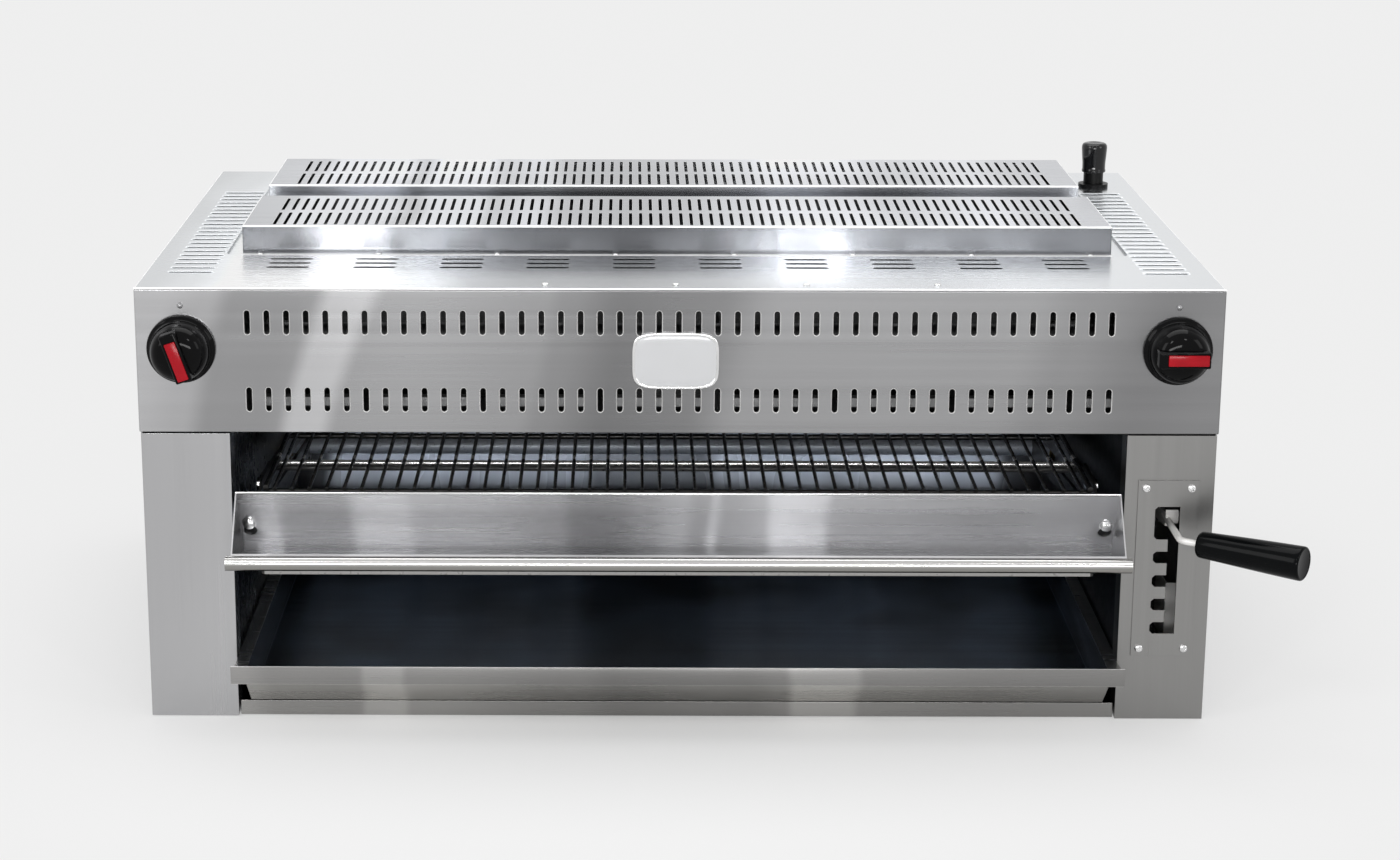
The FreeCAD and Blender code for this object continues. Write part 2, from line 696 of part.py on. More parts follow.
def knobs():
    """Knobs built face up at the origin, then turned to face the front."""
    for (label, side), pointer in zip(SIDES, (s.left_pointer, s.right_pointer)):
        knob = body(f"knob_{label}")
        drawing = sketch(knob, "xz", 0)
        knob_profile(drawing)
        turned = knob.newObject("PartDesign::Revolution", f"knob_{label}_turned")
        turned.Profile = drawing
        turned.ReferenceAxis = (drawing, ["V_Axis"])
        turned.Angle = 360
        grip = sketch(knob, "xy", s.knob_skirt)
        long, wide = s.knob_grip_length / 2, s.knob_grip_width / 2
        rectangle(grip, (-wide, wide), (-long, long))
        pad(knob, grip, s.knob_reach - s.knob_skirt)
        shift = s.insert_shift
        seat = (shift - s.insert_length / 2, shift + s.insert_length / 2)
        across = (-s.insert_width / 2, s.insert_width / 2)
        recess(knob, "xy", s.knob_reach - s.insert_depth, s.knob_reach + s.overrun,
               rectangle, across, seat)
        recess(knob, "xy", -s.overrun, s.stem_length + s.rest_gap, circle,
               0, 0, s.stem_radius + s.stem_fit)
        insert = box(f"insert_{label}", across, seat,
                     (s.knob_reach - s.insert_depth, s.knob_reach + s.insert_proud))
        facing = FreeCAD.Rotation(X, 90)
        turn = FreeCAD.Rotation(Y, float(pointer))
        where = (side * knob_x, behind(-s.knob_gap), knob_z)
        place(knob, *where, rotation=turn * facing)
        keep(f"knob_{label}", knob)
        doc.recompute()
        holder = body_copy(f"knob_insert_{label}", insert, where, turn * facing)
        keep(f"knob_insert_{label}", holder)


def body_copy(name, solid, where, rotation):
    """Wrap a primitive so that it can be turned about the shared origin."""
    holder = group(name, [solid])
    return place(holder, *where, rotation=rotation)


# Gas train

def bent_path(points, bend):
    """Straight runs joined by tangent arcs of one radius."""
    corners = [vector(*point) for point in points]
    edges, start = [], corners[0]
    for before, corner, after in zip(corners, corners[1:], corners[2:]):
        to_before = (before - corner).normalize()
        to_after = (after - corner).normalize()
        half = to_before.getAngle(to_after) / 2
        reach = float(bend) / math.tan(half)
        middle = (to_before + to_after).normalize()
        depth = float(bend) / math.sin(half) - float(bend)
        entry, leave = corner + to_before * reach, corner + to_after * reach
        edges.append(Part.LineSegment(start, entry).toShape())
        edges.append(Part.Arc(entry, corner + middle * depth, leave).toShape())
        start = leave
    edges.append(Part.LineSegment(start, corners[-1]).toShape())
    return Part.Wire(edges)


def tube(points, bend, radius, bore=0):
    path = bent_path(points, bend)
    start, along = vector(*points[0]), vector(*points[1]) - vector(*points[0])
    ring = Part.Wire(Part.makeCircle(float(radius), start, along))
    solid = path.makePipeShell([ring], True, False)
    if float(bore) > 0:
        inner = Part.Wire(Part.makeCircle(float(bore), start, along))
        solid = solid.cut(path.makePipeShell([inner], True, False))
    return solid


def valves():
    """Gas cocks behind the panel and the stems that the knobs turn."""
    for label, side in SIDES:
        x, y = side * knob_x, behind(s.valve_front)
        block = box(f"valve_block_{label}", (x - s.valve_width / 2, x + s.valve_width / 2),
                    (y, y + s.valve_length), (knob_z - s.valve_height / 2,
                                              knob_z + s.valve_height / 2))
        nose = rod(f"valve_nose_{label}", s.nose_radius, s.valve_front / 2,
                   (x, y - s.valve_front / 2, knob_z), "y")
        socket = rod(f"valve_socket_{label}", s.stem_radius + s.stem_fit,
                     s.valve_front / 2 + s.valve_socket,
                     (x, y - s.valve_front / 2, knob_z), "y")
        keep(f"gas_valve_{label}", cut(f"gas_valve_{label}",
                                       fuse(f"valve_body_{label}", block, nose), socket))
        front = behind(-s.knob_gap - s.stem_length)
        keep(f"valve_stem_{label}", rod(
            f"valve_stem_{label}", s.stem_radius,
            y + s.valve_socket - s.rest_gap - front, (x, front, knob_z), "y"))


def gas_pipes():
    reach = knob_x + s.manifold_overhang
    pipe = rod("manifold_pipe", s.manifold_radius, reach * 2,
               (-reach, manifold_y, knob_z), "x")
    bore = rod("manifold_bore", s.manifold_bore, (reach - s.manifold_end) * 2,
               (s.manifold_end - reach, manifold_y, knob_z), "x")
    keep("gas_manifold", cut("gas_manifold", pipe, bore))
    tee_y = manifold_y + s.manifold_radius
    route = ((inlet_x, inlet_y, pipe_top), (inlet_x, inlet_y, knob_z),
             (inlet_x, tee_y, knob_z))
    keep("gas_inlet_pipe", shaped("gas_inlet_pipe", tube(
        route, s.pipe_bend, s.pipe_radius, s.pipe_bore)))
    sleeve = rod("union_sleeve", s.pipe_radius + s.union_wall,
                 s.manifold_radius + s.union_length,
                 (inlet_x, manifold_y, knob_z), "y")
    inner = rod("union_bore", s.pipe_radius, s.union_length + s.overrun,
                (inlet_x, tee_y, knob_z), "y")
    seat = rod("union_seat", s.manifold_radius, s.union_length * 2,
               (inlet_x - s.union_length, manifold_y, knob_z), "x")
    front = box("union_front", (inlet_x - s.union_length, inlet_x + s.union_length),
                (manifold_y - s.manifold_radius, manifold_y),
                (knob_z - s.union_length, knob_z + s.union_length))
    keep("pipe_union", cut("pipe_union", sleeve, inner, seat, front))
    ring = rod("collar_ring", s.collar_radius, s.collar_height,
               (inlet_x, inlet_y, s.body_height), "z")
    hole = rod("collar_hole", s.pipe_radius, s.collar_height + s.overrun * 2,
               (inlet_x, inlet_y, s.body_height - s.overrun), "z")
    keep("inlet_collar", cut("inlet_collar", ring, hole))
    inlet_cap(inlet_y)
    lines, jets = [], []
    for label, side in SIDES:
        x, low = side * knob_x, cavity_roof + s.sheet + s.burner_height / 2
        mouth = side * (s.burner_centre + s.burner_width / 2 + s.mixer_length)
        y = behind(s.valve_front + s.valve_length / 2)
        route = ((x, y, knob_z - s.valve_height / 2), (x, y, low),
                 (x, behind(s.supply_depth), low), (mouth, behind(s.supply_depth), low))
        lines.append(shaped(f"supply_tube_{label}", tube(
            route, s.supply_bend, s.supply_radius, s.supply_bore)))
        start = mouth if side < 0 else mouth - s.jet_length
        nozzle = rod(f"jet_body_{label}", s.jet_radius, s.jet_length,
                     (start, behind(s.supply_depth), low), "x")
        orifice = rod(f"jet_orifice_{label}", s.jet_orifice,
                      s.jet_length + s.overrun * 2,
                      (start - s.overrun, behind(s.supply_depth), low), "x")
        jets.append(cut(f"gas_jet_{label}", nozzle, orifice))
    keep("supply_tubes", group("supply_tubes", lines))
    keep("gas_jets", group("gas_jets", jets))


def inlet_cap(inlet_y):
    """Pull-off cap on the upright end of the inlet pipe."""
    cap = body("inlet_cap")
    drawing = sketch(cap, "xz", 0)
    bore = s.pipe_radius + s.cap_fit
    low, roof = s.body_height + s.cap_lift, pipe_top + s.cap_fit
    top = low + s.cap_height
    outline(drawing, (
        (0, roof), (bore, roof), (bore, low), (s.cap_radius - s.cap_taper, low),
        (s.cap_radius, top - s.cap_round), (s.cap_radius - s.cap_round, top), (0, top)))
    turned = cap.newObject("PartDesign::Revolution", "cap_turned")
    turned.Profile = drawing
    turned.ReferenceAxis = (drawing, ["V_Axis"])
    turned.Angle = 360
    place(cap, inlet_x, inlet_y, 0)
    keep("inlet_cap", cap)


def burners():
    """Infrared burners: steel box, ceramic tiles on the deck and a mixing tube."""
    base, front = cavity_roof + s.sheet, behind(s.burner_front)
    depth, wide = s.burner_depth, s.burner_width / 2
    ceramics = []
    for label, side in SIDES:
        centre = side * s.burner_centre
        shell = box(f"burner_shell_{label}", (centre - wide, centre + wide),
                    (front, front + depth), (base, base + s.burner_height))
        room = box(f"burner_room_{label}",
                   (centre - wide + s.sheet, centre + wide - s.sheet),
                   (front + s.sheet, front + depth - s.sheet),
                   (base - s.overrun, base + s.burner_height - s.sheet))
        axis = (s.supply_depth, base + s.burner_height / 2)
        start = side * (s.burner_centre + wide)
        length = s.mixer_length - s.mixer_bore
        at = (start if side > 0 else start - length, behind(axis[0]), axis[1])
        radii = (s.mixer_throat, s.mixer_radius)
        horn = cone(f"mixer_horn_{label}", *(radii if side > 0 else radii[::-1]),
                    length, at, "x")
        draft = rod(f"mixer_bore_{label}", s.mixer_bore,
                    length + s.sheet + s.overrun * 2,
                    (start - s.sheet - s.overrun if side > 0
                     else start - length - s.overrun, at[1], at[2]), "x")
        keep(f"burner_{label}", cut(f"burner_{label}",
                                    fuse(f"burner_body_{label}",
                                         cut(f"burner_box_{label}", shell, room), horn),
                                    draft))
        ceramics += tiles(label, centre, front, base)
    keep("burner_tiles", group("burner_tiles", ceramics))


def tiles(label, centre, front, base):
    """Ceramic tiles laid edge to edge over the deck's window."""
    lap = s.tile_lap
    field = s.burner_width - (s.burner_flange - lap) * 2
    columns, rows = int(float(s.tile_columns)), int(float(s.tile_rows))
    wide, deep = field / s.tile_columns, field / s.tile_rows
    left, near = centre - field / 2, front + s.burner_flange - lap
    half = s.tile_gap / 2
    return [
        box(f"tile_{label}_{column}_{line}",
            (left + wide * column + half, left + wide * (column + 1) - half),
            (near + deep * line + half, near + deep * (line + 1) - half),
            (base, base + s.tile_thickness))
        for column in range(columns) for line in range(rows)]


# Notched plate and lever

def notch(drawing, low, high):
    left, right, corner = notch_left, channel_left + s.overrun, s.notch_corner
    outline(drawing, ((right, low), (left + corner, low), (left, low + corner),
                      (left, high - corner), (left + corner, high), (right, high)))


def notched_plate():
    plate = body("notched_plate")
    front, back = behind(-s.plate_thickness), behind(0)
    prism(plate, "xz", front, back, rectangle, (plate_left, plate_right),
          (s.plate_bottom, s.plate_top))
    recess(plate, "xz", front - s.overrun, back + s.overrun, rectangle,
           (channel_left, channel_right), (s.notch_bottom, s.channel_top))
    lowest = recess(plate, "xz", front - s.overrun, back + s.overrun, notch,
                    s.notch_bottom, s.notch_bottom + s.notch_height)
    repeat(plate, lowest, "z", s.notch_pitch, s.notch_count)
    top_notch = s.notch_bottom + s.notch_pitch * (s.notch_count - 1)
    recess(plate, "xz", front - s.overrun, back + s.overrun, notch,
           top_notch, s.channel_top)
    screw_holes(plate, front - s.overrun, s.plate_thickness + s.overrun * 2)
    keep("notched_plate", plate)
    screws = []
    for number, (x, z) in enumerate(screw_places()):
        shank = rod(f"screw_shank_{number}", s.plate_screw_radius, s.plate_screw_length,
                    (x, front, z), "y")
        head = cone(f"screw_head_{number}", s.plate_head_radius, s.plate_head_radius / 2,
                    s.plate_head_height, (x, front, z), "-y")
        screws.append(fuse(f"plate_screw_{number}", shank, head))
    keep("plate_screws", group("plate_screws", screws))


def lever_guide():
    """Folded bracket on the right side panel that keeps the lever in line."""
    left, inner = channel_right + s.guide_gap, inner_half - s.sheet
    near = behind(s.guide_lead)
    far, foot = near + s.guide_depth, near + s.guide_foot
    points = ((left, far), (left, near), (inner_half, near), (inner_half, foot),
              (inner, foot), (inner, near + s.sheet), (left + s.sheet, near + s.sheet),
              (left + s.sheet, far))
    bracket = body("lever_guide")
    prism(bracket, "xy", s.guide_bottom, s.guide_bottom + s.guide_height, outline, points)
    keep("lever_guide", bracket)


def lever():
    """Lever bar, bent rod and grip, hinged on the torque shaft's yoke."""
    hinge_y = shaft_y - s.hinge_reach
    z = s.shaft_height
    root = behind(s.rod_root)
    half = s.lever_bar / 2
    bar = body("lever_bar")
    prism(bar, "yz", lever_x - half, lever_x + half, outline, (
        (hinge_y, z - s.bar_eye_height / 2), (hinge_y, z + s.bar_eye_height / 2),
        (root, s.rod_height + s.bar_tip_height / 2),
        (root, s.rod_height - s.bar_tip_height / 2)))
    eye_half = s.ear_gap / 2 - s.rest_gap
    prism(bar, "xy", z - eye_half, z + eye_half, circle, lever_x, hinge_y, s.ear_width / 2)
    recess(bar, "xy", z - s.ear_gap, z + s.ear_gap, circle,
           lever_x, hinge_y, s.hinge_pin_radius + s.hinge_fit)
    tab = box("lever_tab", (lever_x - half, lever_x - half + s.tab_width),
              (root - s.tab_thickness, root),
              (s.rod_height + s.tab_lift - s.tab_height / 2,
               s.rod_height + s.tab_lift + s.tab_height / 2))
    turn = math.radians(float(s.lever_turn))
    ahead = (math.sin(turn), -math.cos(turn))
    corner = (lever_x, behind(-s.rod_reach))

    def beyond(distance):
        return (corner[0] + distance * ahead[0], corner[1] + distance * ahead[1],
                s.rod_height)

    bent = shaped("lever_rod", tube(
        ((lever_x, root + s.rod_weld, s.rod_height), (*corner, s.rod_height),
         beyond(s.rod_after_bend + s.grip_socket)), s.rod_bend, s.rod_radius))
    keep("lever_arm", fuse("lever_arm", bar, tab, bent))
    heading = FreeCAD.Rotation(Z, FreeCAD.Vector(ahead[0], ahead[1], 0))
    grip = body("lever_grip")
    drawing = sketch(grip, "xz", 0)
    length, edge = s.grip_length, s.grip_edge
    outline(drawing, (
        (s.rod_radius, 0), (s.grip_small_radius - edge, 0), (s.grip_small_radius, edge),
        (s.grip_large_radius, length - edge), (s.grip_large_radius - edge, length),
        (0, length), (0, s.grip_socket), (s.rod_radius, s.grip_socket)))
    turned = grip.newObject("PartDesign::Revolution", "grip_turned")
    turned.Profile = drawing
    turned.ReferenceAxis = (drawing, ["V_Axis"])
    turned.Angle = 360
    place(grip, *beyond(s.rod_after_bend), rotation=heading)
    keep("lever_grip", grip)


def torque_shaft():
    """Cross shaft with the yoke that carries the lever's upright hinge pin."""
    x, y, z = lever_x, shaft_y, s.shaft_height
    keep("torque_shaft", rod("torque_shaft", s.shaft_radius,
                             half_opening + s.shaft_overhang + lever_x + s.shaft_end,
                             (-half_opening - s.shaft_overhang, y, z), "x"))
    hub = rod("yoke_hub", s.hub_radius, s.hub_width, (x - s.hub_width / 2, y, z), "x")
    hinge_y = y - s.hinge_reach
    low, high = s.ear_gap / 2, s.ear_gap / 2 + s.ear_thickness
    ears = []
    for label, level in (("upper", z + low), ("lower", z - high)):
        strap = box(f"ear_{label}", (x - s.ear_width / 2, x + s.ear_width / 2),
                    (hinge_y, y), (level, level + s.ear_thickness))
        tip = rod(f"ear_tip_{label}", s.ear_width / 2, s.ear_thickness,
                  (x, hinge_y, level), "z")
        ears += [strap, tip]
    bores = [rod("yoke_bore", s.shaft_radius, s.hub_width + s.overrun * 2,
                 (x - s.hub_width / 2 - s.overrun, y, z), "x"),
             rod("ear_bore", s.hinge_pin_radius, high * 2 + s.overrun * 2,
                 (x, hinge_y, z - high - s.overrun), "z")]
    keep("lever_yoke", cut("lever_yoke", fuse("yoke_body", hub, *ears), *bores))
    pin = rod("pin_shank", s.hinge_pin_radius, high * 2, (x, hinge_y, z - high), "z")
    heads = [rod(f"pin_head_{label}", s.hinge_head_radius, s.hinge_head,
                 (x, hinge_y, level), "z")
             for label, level in (("upper", z + high), ("lower", z - high - s.hinge_head))]
    keep("lever_hinge_pin", fuse("lever_hinge_pin", pin, *heads))
    bushes = []
    for label, side in SIDES:
        inner, outer = wall_outer - s.sheet - s.bush_inner, wall_outer + s.bush_outer
        barrel = rod(f"bush_barrel_{label}", s.shaft_radius + s.bush_wall, outer - inner,
                     (span(side, inner, outer)[0], y, z), "x")
        flange = rod(f"bush_flange_{label}", s.shaft_radius + s.bush_wall + s.bush_flange,
                     s.bush_rim, (span(side, wall_outer - s.sheet - s.bush_rim,
                                             wall_outer - s.sheet)[0], y, z), "x")
        bore = rod(f"bush_bore_{label}", s.shaft_radius + s.bush_fit,
                   outer - inner + s.overrun * 2,
                   (span(side, inner, outer)[0] - s.overrun, y, z), "x")
        bushes.append(cut(f"shaft_bush_{label}",
                          fuse(f"bush_body_{label}", barrel, flange), bore))
    keep("shaft_bushes", group("shaft_bushes", bushes))


# Lift linkage

def link(name, x, start, hub, hub_bore, tip_bore):
    """A flat arm from a pivot near the back to one on the carriage."""
    width = s.arm_width / 2
    across = (arm_rise / arm_length, arm_run / arm_length)
    end = (start[0] - arm_run, start[1] + arm_rise)
    corners = [(point[0] + sign * width * across[0], point[1] + sign * width * across[1])
               for point, sign in ((start, -1), (end, -1), (end, 1), (start, 1))]
    arm = body(name)
    prism(arm, "yz", *x, outline, corners)
    prism(arm, "yz", *x, circle, *start, hub)
    prism(arm, "yz", *x, circle, *end, width)
    for place_at, bore in ((start, hub_bore), (end, tip_bore)):
        recess(arm, "yz", x[0] - s.overrun, x[1] + s.overrun, circle, *place_at, bore)
    keep(name, arm)


def lift_linkage():
    """Parallel arms on each side that keep the carriage level."""
    upper = (shaft_y, s.shaft_height + s.steady_offset)
    pins = []
    for label, side in SIDES:
        x = span(side, arm_inner, arm_inner + s.arm_thickness)
        link(f"lift_arm_{label}", x, (shaft_y, s.shaft_height), s.hub_radius,
             s.shaft_radius, s.pivot_radius + s.pivot_fit)
        link(f"steady_arm_{label}", x, upper, s.arm_width / 2,
             s.pivot_radius + s.pivot_fit, s.pivot_radius + s.open_pivot_play)
        head = arm_inner - s.rest_gap - s.pivot_head
        collar = arm_inner + s.arm_thickness + s.rest_gap
        wall = half_opening + s.sheet
        shank = rod(f"steady_shank_{label}", s.pivot_radius, wall - head,
                    (span(side, head, wall)[0], *upper), "x")
        cap = rod(f"steady_head_{label}", s.pivot_head_radius, s.pivot_head,
                  (span(side, head, head + s.pivot_head)[0], *upper), "x")
        spacer = rod(f"steady_spacer_{label}", s.pivot_head_radius, wall - collar,
                     (span(side, collar, wall)[0], *upper), "x")
        pins.append(fuse(f"steady_pin_{label}", shank, cap, spacer))
    keep("steady_pins", group("steady_pins", pins))


# Carriage

def slope_at(height):
    """Depth of the ledge's back plate at a height."""
    rise = s.ledge_top - s.ledge_fold
    return (s.ledge_top_depth
            + (s.ledge_fold_depth - s.ledge_top_depth) * (s.ledge_top - height) / rise)


def side_outline(drawing):
    """Side plate of the carriage, following the ledge in front."""
    seat, waist = rack_seat, rack_seat - s.waist_drop
    side_rear = cavity_depth - s.side_lead
    foot_top = s.ledge_fold - s.bar_gap
    foot = foot_top - s.side_foot
    points = (
        (slope_at(seat), seat), (s.ledge_fold_depth, s.ledge_fold),
        (s.ledge_fold_depth, foot_top), (s.bar_depth, foot_top), (s.bar_depth, foot),
        (s.side_neck_depth, foot), (s.side_neck_depth, s.side_neck_height),
        (s.side_waist_depth, waist), (side_rear, waist), (side_rear, seat),
        (s.side_crest_rear + s.side_crest_slope, seat),
        (s.side_crest_rear, s.side_crest), (s.side_crest_front, s.side_crest))
    outline(drawing, [(behind(depth), z) for depth, z in points])


def carriage():
    """Side plates, cross bars and pivot pins that the arms carry."""
    thick = s.side_thickness
    pivots = ((pivot_y, pivot_z), (pivot_y, pivot_z + s.steady_offset))
    pins = []
    for label, side in SIDES:
        x = span(side, side_inner, side_inner + thick)
        plate = body(f"carriage_side_{label}")
        prism(plate, "yz", *x, side_outline)
        tab_back = s.tab_plate * root_of(
            (s.ledge_top - s.ledge_fold) * (s.ledge_top - s.ledge_fold)
            + (s.ledge_fold_depth - s.ledge_top_depth)
            * (s.ledge_fold_depth - s.ledge_top_depth)) / (s.ledge_top - s.ledge_fold)
        prism(plate, "yz", *span(side, side_inner, half_opening - s.tab_inset), outline, [
            (behind(slope_at(z) + back), z)
            for z, back in ((s.tab_top, 0), (s.tab_bottom, 0), (s.tab_bottom, tab_back),
                            (s.tab_top, tab_back))])
        for place_at in pivots:
            recess(plate, "yz", x[0] - s.overrun, x[1] + s.overrun, circle,
                   *place_at, s.pivot_radius)
        keep(f"carriage_side_{label}", plate)
        for level, place_at in zip(("lift", "steady"), pivots):
            inner = side_inner - s.pivot_head
            outer = arm_inner + s.arm_thickness + s.rest_gap
            shank = rod(f"pin_{level}_{label}", s.pivot_radius, outer - inner,
                        (span(side, inner, outer)[0], *place_at), "x")
            heads = [
                rod(f"pin_{level}_{end}_{label}", s.pivot_head_radius, s.pivot_head,
                    (span(side, low, low + s.pivot_head)[0], *place_at), "x")
                for end, low in (("in", inner), ("out", outer))]
            pins.append(fuse(f"carriage_pin_{level}_{label}", shank, *heads))
    keep("carriage_pins", group("carriage_pins", pins))
    wide = (-side_inner, side_inner)
    top = s.ledge_fold - s.bar_gap
    bars = [box("front_bar", wide,
                (behind(s.bar_depth), behind(s.bar_depth) + s.bar_thickness),
                (top - s.side_foot, top))]
    for label, number in (("front", 1), ("rear", s.cross_count - 1)):
        near = behind(s.cross_first + s.cross_pitch * number - s.support_lead)
        bars.append(box(f"support_{label}", wide, (near, near + s.support_width),
                        (rack_seat - s.support_thickness, rack_seat)))
    keep("carriage_bars", group("carriage_bars", bars))


def wire_rack():
    """Round wires welded across five rods, with a thicker wire at each end."""
    first = s.wire_pitch * (s.wire_count - 1) / -2
    length = (cavity_depth - s.rack_lead) - s.wire_front
    near = behind(s.wire_front)
    wires = [rod(f"wire_{number}", s.wire_radius, length,
                 (first + s.wire_pitch * number, near, s.rack_height), "y")
             for number in range(int(float(s.wire_count)))]
    edge_z = cross_z + s.rod_cross_radius * 2 - s.weld
    wires += [rod(f"edge_wire_{label}", s.rod_cross_radius, length,
                  (side * rack_half, near, edge_z), "y")
              for label, side in SIDES]
    rods = [rod(f"cross_rod_{number}", s.rod_cross_radius, rack_half * 2,
                (-rack_half, behind(s.cross_first + s.cross_pitch * number),
                 cross_z), "x")
            for number in range(int(float(s.cross_count)))]
    keep("wire_rack", fuse("wire_rack", *rods, *wires))


def ledge():
    """Front trough that hangs on two studs, with its rolled rail and end caps."""
    half, fold = ledge_half, behind(s.ledge_fold_depth)
    nose = behind(-s.ledge_front)
    rail_top = s.ledge_front_bottom + s.ledge_rail_height
    trough = body("ledge_sheet")
    block = prism(trough, "yz", -half, half, outline, (
        (behind(s.ledge_top_depth), s.ledge_top), (fold, s.ledge_fold),
        (nose, s.ledge_front_bottom), (nose, rail_top)))
    middle = (s.ledge_top + rail_top) / 2

    def is_top(face):
        centre = face.CenterOfMass
        return (abs(centre.x) < float(s.sheet)
                and abs(centre.z - float(middle)) < float(s.sheet))

    hollow(trough, block, s.sheet, is_top)
    square = FreeCAD.Vector(0, float(s.ledge_fold - s.ledge_top),
                            float(s.ledge_top_depth - s.ledge_fold_depth)).normalize()
    facing = FreeCAD.Rotation(Z, square)
    stud_x = half_opening - s.stud_inset
    seats = [(side * stud_x, behind(slope_at(s.stud_height)), s.stud_height)
             for _, side in SIDES]
    tools = []
    for number, (x, y, z) in enumerate(seats):
        start = vector(x, y, z) - square * float(s.overrun)
        drop = FreeCAD.Vector(0, -square.z, square.y) * float(s.keyhole_drop)
        for kind, radius, centre in (
                ("slot", s.stud_radius + s.keyhole_play, start),
                ("eye", s.keyhole_radius, start + drop)):
            tools.append(rod(f"keyhole_{kind}_{number}", radius,
                             s.sheet + s.overrun * 2, tuple(centre), "z"))
            tools[-1].Placement.Rotation = facing
    keep("ledge_trough", cut("ledge_trough", trough, *tools))
    studs = []
    for number, (x, y, z) in enumerate(seats):
        back = vector(x, y, z)
        shank = rod(f"stud_shank_{number}", s.stud_radius, s.sheet + s.rest_gap,
                    tuple(back), "z")
        head = cone(f"stud_head_{number}", s.stud_head_radius, s.stud_crown_radius,
                    s.stud_head, tuple(back + square * float(s.sheet + s.rest_gap)), "z")
        for piece in (shank, head):
            piece.Placement.Rotation = facing
        studs.append(fuse(f"ledge_stud_{number}", shank, head))
    keep("ledge_studs", group("ledge_studs", studs))
    rail(nose, rail_top)


def rail(nose, rail_top):
    """Half-round roll along the front edge, closed by a cap at each end."""
    outer, centre = s.ledge_rail_height / 2, rail_top - s.ledge_rail_height / 2
    long = rail_half
    tube_out = rod("rail_outer", outer, long * 2, (-long, nose, centre), "x")
    tube_in = rod("rail_inner", outer - s.sheet, long * 2 + s.overrun * 2,
                  (-long - s.overrun, nose, centre), "x")
    behind_nose = box("rail_behind", (-long - s.overrun, long + s.overrun),
                      (nose, nose + s.ledge_rail_height),
                      (s.ledge_front_bottom - s.overrun, rail_top + s.overrun))
    keep("ledge_rail", cut("ledge_rail", tube_out, tube_in, behind_nose))
    caps = []
    for label, side in SIDES:
        x = span(side, long - s.cap_length, long)
        plug = rod(f"cap_plug_{label}", outer - s.sheet, s.cap_length,
                   (x[0], nose, centre), "x")
        caps.append(cut(f"rail_cap_{label}", plug, box(
            f"cap_back_{label}", (x[0] - s.overrun, x[1] + s.overrun),
            (nose, nose + s.ledge_rail_height),
            (s.ledge_front_bottom - s.overrun, rail_top + s.overrun))))
    keep("rail_caps", group("rail_caps", caps))


# Drip tray

def drip_tray():
    """Slide-out pan with a sloped front and side flanges that ride on runners."""
    tray = body("drip_tray")
    front, rear = behind(-s.tray_front), behind(cavity_depth - s.tray_lead)
    wide, lip = tray_half, half_opening + s.tray_lip_overlap
    flange = half_opening - s.tray_flange_gap
    block = prism(tray, "yz", -wide, wide, outline, (
        (front, s.tray_rim), (front, s.tray_break), (behind(0), s.tray_floor),
        (rear, s.tray_floor), (rear, s.tray_rim)))

    def is_top(face):
        return abs(face.CenterOfMass.z - float(s.tray_rim)) < float(s.rest_gap)

    hollow(tray, block, s.sheet, is_top)
    prism(tray, "xz", front - s.sheet, front, rectangle,
          (-lip, lip), (s.tray_break, s.tray_rim + s.tray_lip_rise))
    drawing = sketch(tray, "xy", s.tray_rim - s.sheet)
    for _, side in SIDES:
        rectangle(drawing, span(side, wide, flange), (front, rear))
    pad(tray, drawing, s.sheet)
    keep("drip_tray", tray)
    runners = []
    top = s.tray_rim - s.sheet - s.runner_gap
    for label, side in SIDES:
        near, far = behind(return_back + s.rest_gap), behind(cavity_depth - s.runner_lead)
        wall = half_opening + s.sheet
        shelf = box(f"runner_shelf_{label}", span(side, wide + s.overrun, wall),
                    (near, far), (top - s.sheet, top))
        web = box(f"runner_web_{label}", span(side, wall - s.sheet, wall), (near, far),
                  (top - s.runner_height, top))
        runners.append(fuse(f"tray_runner_{label}", shelf, web))
    keep("tray_runners", group("tray_runners", runners))


# Front trim

def front_trim():
    """Blank name plate and the index stud above each knob."""
    front = behind(0)
    wide, tall = float(s.badge_length) / 2, float(s.badge_rise) / 2
    bulge = float(s.badge_bulge)
    centre = (float(s.badge_x), float(s.body_height - s.badge_drop))
    ring = []
    for (ax, az), (bx, bz) in (((-1, -1), (1, -1)), ((1, -1), (1, 1)),
                               ((1, 1), (-1, 1)), ((-1, 1), (-1, -1))):
        corners = [(centre[0] + (wide - bulge) * x, centre[1] + (tall - bulge) * z)
                   for x, z in ((ax, az), (bx, bz))]
        mid = (centre[0] + wide * (ax + bx) / 2, centre[1] + tall * (az + bz) / 2)
        points = [vector(x, front, z) for x, z in (corners[0], mid, corners[1])]
        ring.append(Part.Arc(*points).toShape())
    slab = Part.Face(Part.Wire(ring)).extrude(vector(0, -s.badge_thickness, 0))
    share = float(s.upright_share)
    upright = [edge for edge in slab.Edges
               if len(edge.Vertexes) == 2 and abs(edge.tangentAt(edge.FirstParameter).y) > share]
    plate = slab.makeFillet(float(s.badge_corner), upright)
    keep("name_plate_blank", shaped("name_plate_blank", plate))
    studs = [cone(f"index_{label}", s.index_radius, s.index_radius / 2, s.index_height,
                  (side * knob_x, front, knob_z + s.index_rise), "-y")
             for label, side in SIDES]
    keep("index_studs", group("index_studs", studs))


# Build, check and export

for step in (hood_front, top_panel, side_panels, front_columns, rear_panel, base_pan,
             cavity, vent_well, vent_boxes, knobs, valves, gas_pipes, burners,
             notched_plate, lever_guide, lever, torque_shaft, lift_linkage, carriage, wire_rack,
             ledge, drip_tray, front_trim):
    step()
doc.recompute()

for item in doc.Objects:
    if "Invalid" in item.State or "Error" in item.State:
        raise RuntimeError(f"{item.Name} did not build: {item.State}")

